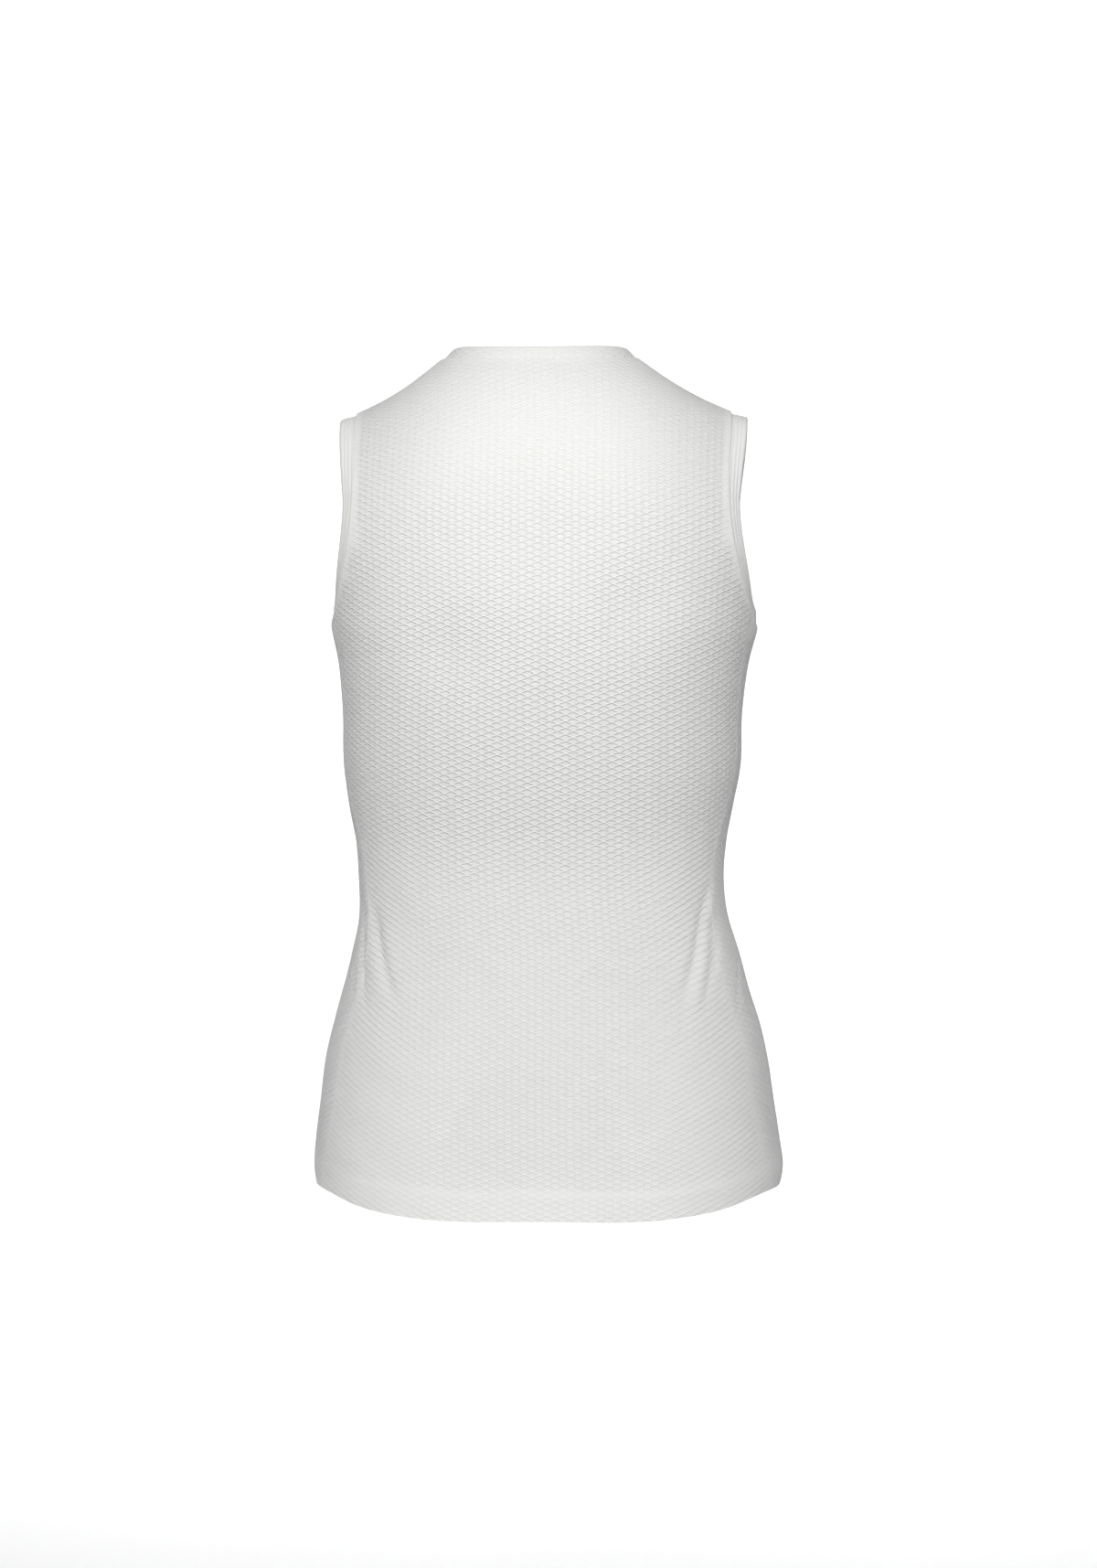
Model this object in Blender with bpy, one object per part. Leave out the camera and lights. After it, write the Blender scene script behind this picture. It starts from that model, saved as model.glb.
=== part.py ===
"""A sleeveless cycling base layer vest, hollow, in the form it has when worn.

The origin is midway between the two high points of the shoulders, where the neck binding starts. +Z is up, the
front of the vest faces -Y and its back +Y, and +X is the wearer's left. All sizes are in metres.

The cloth is one skin, a stack of level sections from the hem to the neck, cut into a back and a front panel. A place
on it is an angle around the body, 0 at the centre back, a quarter turn at the wearer's left side and half a turn at
the centre front, and a height. Each panel is a wall between that skin and the same skin moved in.
"""

import math

import bpy
import numpy as np

# Cloth
WALL = 0.0012
BINDING_WALL = 0.0017
SEAM_GAP = 0.0003

# Skin: the exponent of its sections, and how far below the shoulder line it takes to round over to the back or front
SQUARENESS = 2.4
BACK_ROUNDING = 0.100
FRONT_ROUNDING = 0.110

# Shoulders and neck
NECK_HALF_WIDTH = 0.070
SHOULDER_SLOPE = 0.60
SHOULDER_POINT = 0.1328
BACK_NECK_DROP = 0.005
FRONT_NECK_DROP = 0.085

# Hem
HEM_TURN = 0.0195
HEM_EXTRA = 0.0005

# Bindings
ARMHOLE_BINDING = 0.0115
NECK_BINDING = 0.0115
BINDING_SINK = 0.0003
# How far each binding leans in from the cloth's own slope: the neck binding stands up instead, and so do the armhole
# bindings where they cross the shoulders
ARMHOLE_LEAN = 10.0
SHOULDER_LEAN = -14.0
NECK_LEAN = -14.0
SHOULDER_BEND = (-0.100, -0.045)

# Level sections of the skin: height, half of the width, depth behind and before the shoulder line, and how far the
# worn vest sways towards the wearer's left
SECTIONS = (
    # height, half_width, back_depth, front_depth, sway
    (-0.610, 0.1558, 0.117, 0.110, -0.0010),
    (-0.590, 0.1610, 0.118, 0.111, -0.0014),
    (-0.573, 0.1649, 0.118, 0.112, -0.0018),
    (-0.549, 0.1630, 0.116, 0.113, -0.0012),
    (-0.523, 0.1594, 0.112, 0.113, -0.0008),
    (-0.497, 0.1561, 0.106, 0.112, -0.0004),
    (-0.471, 0.1504, 0.098, 0.110, -0.0004),
    (-0.445, 0.1428, 0.090, 0.108, 0.0002),
    (-0.419, 0.1361, 0.083, 0.106, 0.0004),
    (-0.393, 0.1297, 0.079, 0.104, 0.0020),
    (-0.367, 0.1285, 0.077, 0.104, 0.0036),
    (-0.341, 0.1304, 0.079, 0.105, 0.0036),
    (-0.315, 0.1352, 0.084, 0.108, 0.0036),
    (-0.289, 0.1395, 0.089, 0.111, 0.0028),
    (-0.250, 0.1406, 0.096, 0.117, 0.0026),
    (-0.211, 0.1450, 0.102, 0.119, 0.0016),
    (-0.190, 0.1500, 0.104, 0.117, 0.0010),
    (-0.172, 0.1522, 0.104, 0.114, 0.0006),
    (-0.150, 0.1570, 0.102, 0.110, 0.0006),
    (-0.130, 0.1610, 0.099, 0.106, 0.0008),
    (-0.107, 0.1630, 0.095, 0.101, 0.0010),
    (-0.080, 0.1640, 0.088, 0.096, 0.0012),
    (-0.040, 0.1640, 0.077, 0.090, 0.0016),
    (0.000, 0.1640, 0.068, 0.086, 0.0000),
    (0.030, 0.1640, 0.062, 0.084, 0.0000),
)

# Side seam, from the hem to the armhole: height and angle around from the centre back
SIDE_SEAM = (
    # height, around
    (-0.610, 66.0),
    (-0.583, 65.0),
    (-0.560, 62.5),
    (-0.523, 60.2),
    (-0.476, 59.3),
    (-0.450, 58.0),
    (-0.425, 58.3),
    (-0.400, 61.0),
    (-0.365, 63.8),
    (-0.334, 67.0),
    (-0.302, 71.0),
    (-0.248, 72.5),
    (-0.205, 71.0),
    (-0.183, 72.5),
)

# Armhole edge of the panels: height and half of the width, at the back from the side seam up, and at the front
ARMHOLE_BACK = (
    # height, half_width
    (-0.190, 0.1499),
    (-0.183, 0.1470),
    (-0.172, 0.1432),
    (-0.157, 0.1390),
    (-0.130, 0.1330),
    (-0.107, 0.1305),
    (-0.080, 0.1306),
    (-0.060, 0.1317),
    (-0.03768, 0.1328),
)
ARMHOLE_FRONT = (
    # height, half_width
    (-0.190, 0.1499),
    (-0.183, 0.1470),
    (-0.172, 0.1420),
    (-0.157, 0.1370),
    (-0.130, 0.1320),
    (-0.107, 0.1300),
    (-0.080, 0.1304),
    (-0.060, 0.1317),
    (-0.03768, 0.1328),
)
UNDERARM = -0.190
SEAM_TOP = -0.183
# Height at which the front armhole edge turns up from under the arm
FRONT_TURN = -0.160

# Lower edge of the hem, all round
HEM_LINE = (
    # around, height
    (0.0, -0.5980),
    (30.0, -0.5975),
    (45.0, -0.5930),
    (60.0, -0.5850),
    (90.0, -0.5815),
    (130.0, -0.5770),
    (180.0, -0.5750),
)
# Height at which the widths of the hem are taken
HEM_SIDE = -0.585

# Soft fullness of the cloth over the shoulder blades and bust, and the hollow down the spine: angle around and height
# of its middle, its spread around in degrees and up in metres, and how far it stands out
FULLNESS = (
    # around, height, spread_around, spread_up, rise
    (21, -0.118, 13, 0.036, 0.0026),
    (-23, -0.118, 13, 0.036, 0.0026),
    (0, -0.200, 9, 0.110, -0.0022),
    (0, -0.370, 12, 0.055, -0.0018),
    (150, -0.215, 17, 0.042, 0.0030),
    (-150, -0.215, 17, 0.042, 0.0030),
    (180, -0.225, 9, 0.050, -0.0016),
)

# The largest soft folds: the height and the angle around of the top, middle and bottom of each trough, its half width
# and depth. A negative angle is on the wearer's right.
FOLDS = (
    # top, middle, bottom, half_width, depth
    # at the back of the waist, right and left
    ((-0.367, -63), (-0.424, -47), (-0.462, -37), 0.0048, 0.0024),
    ((-0.402, -59), (-0.435, -52), (-0.464, -45), 0.0036, 0.0016),
    ((-0.352, -62), (-0.416, -42), (-0.484, -27), 0.0120, 0.0016),
    ((-0.378, 60), (-0.423, 50), (-0.458, 39), 0.0048, 0.0022),
    ((-0.383, 70), (-0.428, 60), (-0.464, 50), 0.0038, 0.0016),
    ((-0.356, 58), (-0.410, 40), (-0.470, 26), 0.0120, 0.0013),
    # across the left hip, and at the back of the left armhole
    ((-0.495, 60), (-0.505, 47), (-0.518, 34), 0.0110, 0.0013),
    ((-0.139, 38), (-0.154, 45), (-0.168, 54), 0.0050, 0.0011),
    # at the front of the waist, left and right
    ((-0.372, 117), (-0.420, 129), (-0.463, 141), 0.0055, 0.0022),
    ((-0.348, 122), (-0.410, 142), (-0.478, 155), 0.0120, 0.0015),
    ((-0.366, -115), (-0.424, -126), (-0.458, -137), 0.0052, 0.0022),
    ((-0.385, -106), (-0.431, -116), (-0.472, -124), 0.0045, 0.0015),
    ((-0.354, -119), (-0.415, -138), (-0.470, -151), 0.0120, 0.0016),
    # from under the arms across the front
    ((-0.172, 122), (-0.196, 131), (-0.228, 140), 0.0080, 0.0014),
    ((-0.176, -120), (-0.202, -130), (-0.236, -141), 0.0080, 0.0015),
)

# Grid of a panel: columns from the centre to the neck's corner and on to the shoulder point, both closer together
# towards the sides, and rows, closest together at the waist, where most of the folds are
NECK_COLUMNS = 9
SHOULDER_COLUMNS = 8
SIDE_COLUMNS = 6
COLUMN_SPREAD = math.radians(60)
HEM_ROWS = (0.0, 0.009, HEM_TURN - 0.0010, HEM_TURN, HEM_TURN + 0.0016)
LOWER_ROWS = 4
WAIST_ROWS = 15
UPPER_ROWS = 7
ARMHOLE_ROWS = 12
WAIST = (-0.478, -0.350)
SEAM_ROW = len(HEM_ROWS) + LOWER_ROWS + WAIST_ROWS + UPPER_ROWS - 1

CLOTH_COLOUR = (0.86, 0.86, 0.84)
BINDING_COLOUR = (0.88, 0.88, 0.86)


def column(table, index):
    return np.array([row[index] for row in table])


def smooth(at, values, where):
    """A cubic through the rows of a table, each row's slope taken from its neighbours."""
    slopes = np.gradient(values, at)
    i = np.clip(np.searchsorted(at, where) - 1, 0, len(at) - 2)
    step = at[i + 1] - at[i]
    t = np.clip((where - at[i]) / step, 0, 1)
    return (
        (1 + 2 * t) * (1 - t) ** 2 * values[i]
        + t * (1 - t) ** 2 * step * slopes[i]
        + t**2 * (3 - 2 * t) * values[i + 1]
        + t**2 * (t - 1) * step * slopes[i + 1]
    )


def read(table, key, where):
    return smooth(column(table, 0), column(table, key), where)


def shoulder_line(x):
    """Height of the shoulder line: straight down to the shoulder point, and a soft crown across the neck."""
    flat = 0.060
    crown = SHOULDER_SLOPE * (NECK_HALF_WIDTH - flat / 2 - x**2 / (2 * flat))
    return np.where(np.abs(x) < flat, crown, SHOULDER_SLOPE * (NECK_HALF_WIDTH - np.abs(x)))


def neck_line(x, front):
    """Height of the neckline of the panels between the two high points of the shoulders."""
    share = np.clip(1 - (x / NECK_HALF_WIDTH) ** 2, 0, 1)
    return -FRONT_NECK_DROP * share if front else -BACK_NECK_DROP * share


def around_at(x, height, front=False):
    """The angle around at which a level section is x from the middle."""
    across = np.clip(np.abs(x) / read(SECTIONS, 1, height), 0, 1)
    along = (1 - across**SQUARENESS) ** (1 / SQUARENESS)
    return np.where(x < 0, -1, 1) * np.arctan2(across, -along if front else along)


def relief(around, height):
    """How far the skin stands out from its level sections: soft mounds and hollows, and folds. A fold is a trough
    between two lower ridges, and fades out at both ends."""
    turn = (around + math.pi) % (2 * math.pi) - math.pi
    total = np.zeros(np.broadcast(around, height).shape)
    for middle, level, spread_around, spread_up, rise in FULLNESS:
        off = (turn - math.radians(middle) + math.pi) % (2 * math.pi) - math.pi
        total += rise * np.exp(-((off / math.radians(spread_around)) ** 2) - ((height - level) / spread_up) ** 2)
    for top, middle, bottom, half_width, depth in FOLDS:
        line = np.array((bottom, middle, top))
        centre = smooth(line[:, 0], np.radians(line[:, 1]), height)
        share = np.clip((height - bottom[0]) / (top[0] - bottom[0]), 0, 1)
        aside = (turn - centre) * read(SECTIONS, 1, height) / half_width
        fade = np.sin(math.pi * share) ** 0.7
        total += depth * fade * (0.45 * np.exp(-((np.abs(aside) - 1.9) ** 2)) - np.exp(-(aside**2)))
    return total


def skin(around, height):
    """Points of the outer skin. A level section is a squared ellipse, and near the shoulder line its depth shrinks to
    nothing as a quarter circle does, so that the back rounds over to the front."""
    s, c = np.sin(around), np.cos(around)
    size = (np.abs(s) ** SQUARENESS + np.abs(c) ** SQUARENESS) ** (1 / SQUARENESS)
    x = read(SECTIONS, 1, height) * s / size
    back = c > 0
    y = np.where(back, read(SECTIONS, 2, height), read(SECTIONS, 3, height)) * c / size
    below = (shoulder_line(x) - height) / np.where(back, BACK_ROUNDING, FRONT_ROUNDING)
    y = y * np.sqrt(1 - (1 - np.clip(below, 0, 1)) ** 2)
    out = np.stack([s, c], axis=-1) * relief(around, height)[..., None]
    return np.stack([x + out[..., 0] + read(SECTIONS, 4, height), y + out[..., 1], height + 0 * x], axis=-1)


def seam_around(height):
    return np.radians(read(SIDE_SEAM, 1, height))


def gap_angle(height):
    """The angle that takes up half of a seam's gap at the side."""
    return SEAM_GAP / 2 / (0.75 * read(SECTIONS, 1, height))


def body_heights(hem, top):
    """Heights of the rows from the hem line to the top of the side seam, the hem's own rows first."""
    turned = [hem + lift for lift in HEM_ROWS]
    low, high = ((level - HEM_SIDE - HEM_TURN) / (SEAM_TOP - HEM_SIDE - HEM_TURN) for level in WAIST)
    count = np.cumsum((0, LOWER_ROWS, WAIST_ROWS, UPPER_ROWS))
    shares = np.interp(np.arange(1, count[-1] + 1), count, (0, low, high, 1))
    return np.array(turned + [turned[-1] + (top - turned[-1]) * share for share in shares])


def column_shares():
    """Where a panel's columns are on a level row, as shares of half of its width."""
    angle = np.linspace(-COLUMN_SPREAD, COLUMN_SPREAD, 2 * (NECK_COLUMNS + SHOULDER_COLUMNS) + 1)
    return np.sin(angle) / math.sin(COLUMN_SPREAD)


def top_across():
    """Distance from the middle of each column at the top edge, from one shoulder point to the other."""
    neck = NECK_HALF_WIDTH * np.sin(np.linspace(0, math.pi / 2, NECK_COLUMNS + 1))
    shoulder = np.linspace(NECK_HALF_WIDTH, SHOULDER_POINT, SHOULDER_COLUMNS + 1)[1:]
    half = np.concatenate([neck, shoulder])
    return np.concatenate([-half[:0:-1], half])


def top_height(x, front):
    return np.where(np.abs(x) <= NECK_HALF_WIDTH, neck_line(x, front), shoulder_line(x))


def section_x(around, height):
    s, c = np.sin(around), np.cos(around)
    size = (np.abs(s) ** SQUARENESS + np.abs(c) ** SQUARENESS) ** (1 / SQUARENESS)
    return read(SECTIONS, 1, height) * s / size


def armhole_rows(start, edge_table, front):
    """Rows of a panel from its armhole's lowest point there up to the shoulders and neckline. The shares of the
    columns turn into those of the top edge on the way up."""
    top_x = top_across()
    rise = np.sin(np.linspace(0, math.pi / 2, ARMHOLE_ROWS + 1))[1:, None]
    edge_height = start + (top_height(SHOULDER_POINT, front) - start) * rise
    level = column_shares()
    share = level + (top_x / SHOULDER_POINT - level) * rise
    height = start + (top_height(top_x, front) - start) * rise
    x = share * read(edge_table, 1, edge_height)
    points = skin(around_at(x, height, front), height)
    seam = np.abs(top_x) >= NECK_HALF_WIDTH
    points[-1, seam, 1] = -SEAM_GAP / 2 if front else SEAM_GAP / 2
    return points


def back_grid():
    """Points of the back panel's outer face, in rows from the hem up and columns from the wearer's right to left."""
    share = column_shares()
    hem = read(HEM_LINE, 1, np.degrees(seam_around(HEM_SIDE) * np.abs(share)))
    height = body_heights(hem, SEAM_TOP)
    x = share * section_x(seam_around(height) - gap_angle(height), height)
    return np.concatenate([skin(around_at(x, height), height), armhole_rows(SEAM_TOP, ARMHOLE_BACK, False)])


def underarm_line(around):
    """Height of the armhole edge under the arm, from the side seam forward to where it turns up the front."""
    behind = np.linspace(SEAM_TOP, UNDERARM, 8)
    ahead = np.linspace(UNDERARM, FRONT_TURN, 24)[1:]
    angle = np.concatenate(
        [
            [seam_around(SEAM_TOP)],
            around_at(read(ARMHOLE_BACK, 1, behind[1:]), behind[1:]),
            around_at(read(ARMHOLE_FRONT, 1, ahead), ahead, front=True),
        ]
    )
    return np.interp(around, angle, np.concatenate([behind, ahead]))


def front_grid():
    """Points of the front panel's outer face, in rows from the hem up and columns from the wearer's left seam round
    the front to the right one. The side columns end under the arm, so their upper rows are empty."""
    share = column_shares()[::-1]
    columns = len(share)
    turn = around_at(read(ARMHOLE_FRONT, 1, FRONT_TURN), FRONT_TURN, front=True)
    seam = seam_around(SEAM_TOP) + gap_angle(SEAM_TOP)
    side = np.linspace(0, 1, SIDE_COLUMNS + 1)[:-1]
    side_top = underarm_line(seam + (turn - seam) * side)
    start = np.concatenate([side_top, np.full(columns, FRONT_TURN), side_top[::-1]])
    middle = around_at(share * section_x(turn, HEM_SIDE), HEM_SIDE, front=True) % (2 * math.pi)
    hem_seam = seam_around(HEM_SIDE)
    hem_side = hem_seam + (turn - hem_seam) * side
    at_hem = np.concatenate([hem_side, middle, 2 * math.pi - hem_side[::-1]])
    hem = read(HEM_LINE, 1, np.degrees(np.minimum(at_hem, 2 * math.pi - at_hem)))
    height = body_heights(hem, start)
    edge = seam_around(height) + gap_angle(height)
    left = edge[:, :SIDE_COLUMNS] + (turn - edge[:, :SIDE_COLUMNS]) * side
    right = 2 * math.pi - (edge[:, -SIDE_COLUMNS:] + (turn - edge[:, -SIDE_COLUMNS:]) * side[::-1])
    inner = height[:, SIDE_COLUMNS:-SIDE_COLUMNS]
    centre = around_at(share * section_x(turn, inner), inner, front=True)
    body = skin(np.concatenate([left, centre, right], axis=1), height)
    upper = np.full((ARMHOLE_ROWS, columns + 2 * SIDE_COLUMNS, 3), np.nan)
    upper[:, SIDE_COLUMNS:-SIDE_COLUMNS] = armhole_rows(FRONT_TURN, ARMHOLE_FRONT, True)[:, ::-1]
    return np.concatenate([body, upper])


def unit(vectors):
    return vectors / np.linalg.norm(vectors, axis=-1, keepdims=True)


def grid_faces(points):
    """Outward faces of a grid whose rows go up and whose columns run clockwise seen from above."""
    rows, columns = points.shape[:2]
    there = ~np.isnan(points[..., 0])
    whole = there[:-1, :-1] & there[1:, :-1] & there[1:, 1:] & there[:-1, 1:]
    first = np.arange(rows * columns).reshape(rows, columns)[:-1, :-1][whole]
    return np.stack([first, first + columns, first + columns + 1, first + 1], axis=1)


def grid_normals(points, faces):
    flat = points.reshape(-1, 3)
    a, b, c, d = (flat[faces[:, k]] for k in range(4))
    leaning = np.cross(c - a, d - b)
    total = np.zeros(flat.shape)
    for k in range(4):
        np.add.at(total, faces[:, k], unit(leaning))
    return (total / np.maximum(np.linalg.norm(total, axis=1, keepdims=True), 1e-9)).reshape(points.shape)


def new_object(name, points, faces, colour):
    mesh = bpy.data.meshes.new(name)
    mesh.from_pydata(points.tolist(), [], faces)
    mesh.update()
    mesh.shade_smooth()
    mesh.set_sharp_from_angle(angle=math.radians(40))
    material = bpy.data.materials.new(name)
    material.use_nodes = True
    shader = material.node_tree.nodes["Principled BSDF"]
    shader.inputs["Base Color"].default_value = (*colour, 1)
    shader.inputs["Roughness"].default_value = 0.85
    shader.inputs["Metallic"].default_value = 0.0
    mesh.materials.append(material)
    made = bpy.data.objects.new(name, mesh)
    bpy.context.scene.collection.objects.link(made)
    return made


def hem_thickness(rows):
    """Extra thickness of each row: the turned-up hem is double, with a groove at its stitching."""
    extra = np.zeros(rows)
    extra[:3] = HEM_EXTRA
    extra[3] = -HEM_EXTRA / 2
    return extra[:, None, None]


def skin_normal(around, height):
    near = 0.0005
    across = skin(around + near / 0.1, height) - skin(around - near / 0.1, height)
    up = skin(around, height + near) - skin(around, height - near)
    return unit(np.cross(up, across))


def make_panel(name, points):
    """A closed wall from a grid of its outer face: the same grid moved in, and a rim along every open edge. Along the
    side seams both panels take their direction in from the skin itself, so that the gap keeps its width."""
    faces = grid_faces(points)
    normals = grid_normals(points, faces)
    for side in (0, -1):
        edge = points[: SEAM_ROW + 1, side]
        normals[: SEAM_ROW + 1, side] = skin_normal(np.sign(edge[:, 0]) * seam_around(edge[:, 2]), edge[:, 2])
    normals[-1, np.abs(points[-1, :, 1]) < SEAM_GAP, 1] = 0
    lengths = np.linalg.norm(normals, axis=-1, keepdims=True)
    normals = normals / np.maximum(lengths, 1e-9)
    outer = points + normals * hem_thickness(len(points))
    inner = points - normals * WALL
    count = points.shape[0] * points.shape[1]
    used = np.unique(faces)
    number = np.full(count, -1)
    number[used] = np.arange(len(used))
    outside = number[faces]
    inside = outside[:, ::-1] + len(used)
    edges = np.concatenate([outside[:, [k, (k + 1) % 4]] for k in range(4)])
    both_ways = {tuple(edge) for edge in edges.tolist()}
    open_edges = [(a, b) for a, b in edges.tolist() if (b, a) not in both_ways]
    rim = [(b, a, a + len(used), b + len(used)) for a, b in open_edges]
    places = np.concatenate([outer.reshape(-1, 3)[used], inner.reshape(-1, 3)[used]])
    new_object(name, places, outside.tolist() + inside.tolist() + rim, CLOTH_COLOUR)
    return normals


def ring_strip(name, edge, normals, into, width, wall, angle, colour):
    """A flat binding round an opening: a closed ring of rectangular sections. It starts a seam's gap from the edge,
    and leans in by an angle in degrees, or out by a negative one."""
    angle = np.broadcast_to(np.radians(angle), len(edge))[:, None]
    lean = unit(into * np.cos(angle) - normals * np.sin(angle))
    start = edge + into * SEAM_GAP - normals * BINDING_SINK
    middle = start + lean * width * 0.5 + normals * 0.0002
    end = start + lean * width
    thin = normals * wall
    section = np.stack([start, middle, end, end - thin, middle - thin, start - thin], axis=1)
    count, sides = section.shape[:2]
    faces = [
        (
            k * sides + s,
            k * sides + (s + 1) % sides,
            (k + 1) % count * sides + (s + 1) % sides,
            (k + 1) % count * sides + s,
        )
        for k in range(count)
        for s in range(sides)
    ]
    new_object(name, section.reshape(-1, 3), faces, colour)


def closed_tangents(points):
    return unit(np.roll(points, -1, axis=0) - np.roll(points, 1, axis=0))


def joined_edges(first, second):
    """One closed run of points from two edges that meet at both ends, each meeting pair made one point between."""
    start = (first[0] + second[-1]) / 2
    end = (first[-1] + second[0]) / 2
    return np.concatenate([[start], first[1:-1], [end], second[1:-1]])


def armhole_edges(back, front, side):
    """The two panels' values along one armhole: from the shoulder point down the back to the side seam, and from there
    forward under the arm and up the front."""
    behind = back[::-1, -1 if side > 0 else 0][: ARMHOLE_ROWS + 1]
    under = front[SEAM_ROW, :SIDE_COLUMNS] if side > 0 else front[SEAM_ROW, : -SIDE_COLUMNS - 1 : -1]
    ahead = front[SEAM_ROW:, SIDE_COLUMNS if side > 0 else -SIDE_COLUMNS - 1]
    return behind, np.concatenate([under, ahead])


def make_armhole_binding(name, back, back_normals, front, front_normals, side):
    """The ring starts at the shoulder point, goes down the back to the side seam, under the arm and up the front."""
    edge = joined_edges(*armhole_edges(back, front, side))
    normals = unit(joined_edges(*armhole_edges(back_normals, front_normals, side)))
    into = unit(np.cross(closed_tangents(edge), normals)) * side
    if side < 0:
        edge, normals, into = edge[::-1], normals[::-1], into[::-1]
    angle = np.interp(edge[:, 2], SHOULDER_BEND, (ARMHOLE_LEAN, SHOULDER_LEAN))
    ring_strip(name, edge, normals, into, ARMHOLE_BINDING, BINDING_WALL, angle, BINDING_COLOUR)


def make_neck_binding(back, back_normals, front, front_normals):
    """The ring starts at the high point of the wearer's right shoulder and goes round the back first."""
    behind = slice(SHOULDER_COLUMNS, SHOULDER_COLUMNS + 2 * NECK_COLUMNS + 1)
    ahead = slice(SIDE_COLUMNS + behind.start, SIDE_COLUMNS + behind.stop)
    edge = joined_edges(back[-1, behind], front[-1, ahead])
    normals = unit(joined_edges(back_normals[-1, behind], front_normals[-1, ahead]))
    into = unit(np.cross(closed_tangents(edge), normals))
    ring_strip("neck_binding", edge, normals, into, NECK_BINDING, BINDING_WALL, NECK_LEAN, CLOTH_COLOUR)


def main():
    for old in list(bpy.data.objects):
        bpy.data.objects.remove(old, do_unlink=True)
    back, front = back_grid(), front_grid()
    back_normals, front_normals = make_panel("back_panel", back), make_panel("front_panel", front)
    for name, side in (("armhole_binding_left", 1), ("armhole_binding_right", -1)):
        make_armhole_binding(name, back, back_normals, front, front_normals, side)
    make_neck_binding(back, back_normals, front, front_normals)


main()
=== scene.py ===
"""The looks of a sleeveless cycling base layer vest, hollow, in the form it has when worn.

Metres, +Z up. The front of the vest faces -Y and its back +Y, and +X is the wearer's left. The cloth is
one skin: a place on it is an angle around the body, 0 at the centre back and half a turn at the centre
front, and a height. A panel's flat cloth has its own coordinates, across from its middle and along it
upwards, as long as they are on the body, and the knit's courses and wales follow those.
"""

import math

import bpy
import numpy as np
from mathutils import Matrix


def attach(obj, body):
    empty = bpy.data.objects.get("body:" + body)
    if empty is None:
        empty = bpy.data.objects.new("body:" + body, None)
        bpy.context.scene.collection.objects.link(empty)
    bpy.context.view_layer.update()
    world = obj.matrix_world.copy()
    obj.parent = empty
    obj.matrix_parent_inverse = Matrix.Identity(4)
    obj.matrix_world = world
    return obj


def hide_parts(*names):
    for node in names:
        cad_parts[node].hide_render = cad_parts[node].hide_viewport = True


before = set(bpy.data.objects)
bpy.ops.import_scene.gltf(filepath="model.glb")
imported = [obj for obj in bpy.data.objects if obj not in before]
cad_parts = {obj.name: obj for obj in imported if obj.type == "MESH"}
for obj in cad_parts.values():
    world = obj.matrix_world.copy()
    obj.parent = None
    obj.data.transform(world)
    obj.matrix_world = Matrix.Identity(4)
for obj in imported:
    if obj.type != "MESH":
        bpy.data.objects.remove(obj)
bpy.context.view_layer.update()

bl_info = {
    "name": "Base layer vest",
    "version": (1, 0, 0),
    "blender": (4, 5, 0),
    "location": "View3D > Sidebar > Vest",
    "description": "Makes a sleeveless cycling base layer vest in a raised diamond knit",
    "category": "Add Mesh",
}

# Cloth
WALL = 0.0012
BINDING_WALL = 0.0017
SEAM_GAP = 0.0003

# Skin: the exponent of its sections, and how far below the shoulder line it rounds over to each side
SQUARENESS = 2.4
BACK_ROUNDING = 0.100
FRONT_ROUNDING = 0.110

# Shoulders and neck
NECK_HALF_WIDTH = 0.070
SHOULDER_SLOPE = 0.60
SHOULDER_POINT = 0.1328
BACK_NECK_DROP = 0.005
FRONT_NECK_DROP = 0.085
CROWN = 0.060
SHOULDER_SAG = 0.0033

# Hem and bindings
HEM_TURN = 0.0195
HEM_EXTRA = 0.0005
ARMHOLE_BINDING = 0.0115
NECK_BINDING = 0.0115
BINDING_SINK = 0.0003
ARMHOLE_LEAN = 10.0
SHOULDER_LEAN = -14.0
NECK_LEAN = -14.0
SHOULDER_BEND = (-0.100, -0.045)
# Steps across each rib of a binding, or across a plain one, its share of the knit's height, and its painted
# shadows at its foot and along its free edge
STEPS_PER_RIB, PLAIN_STEPS = 6, 16
BINDING_KNIT, BINDING_SHADOW, SHADOW_WIDTH = 0.22, 0.40, 0.0011

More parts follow.
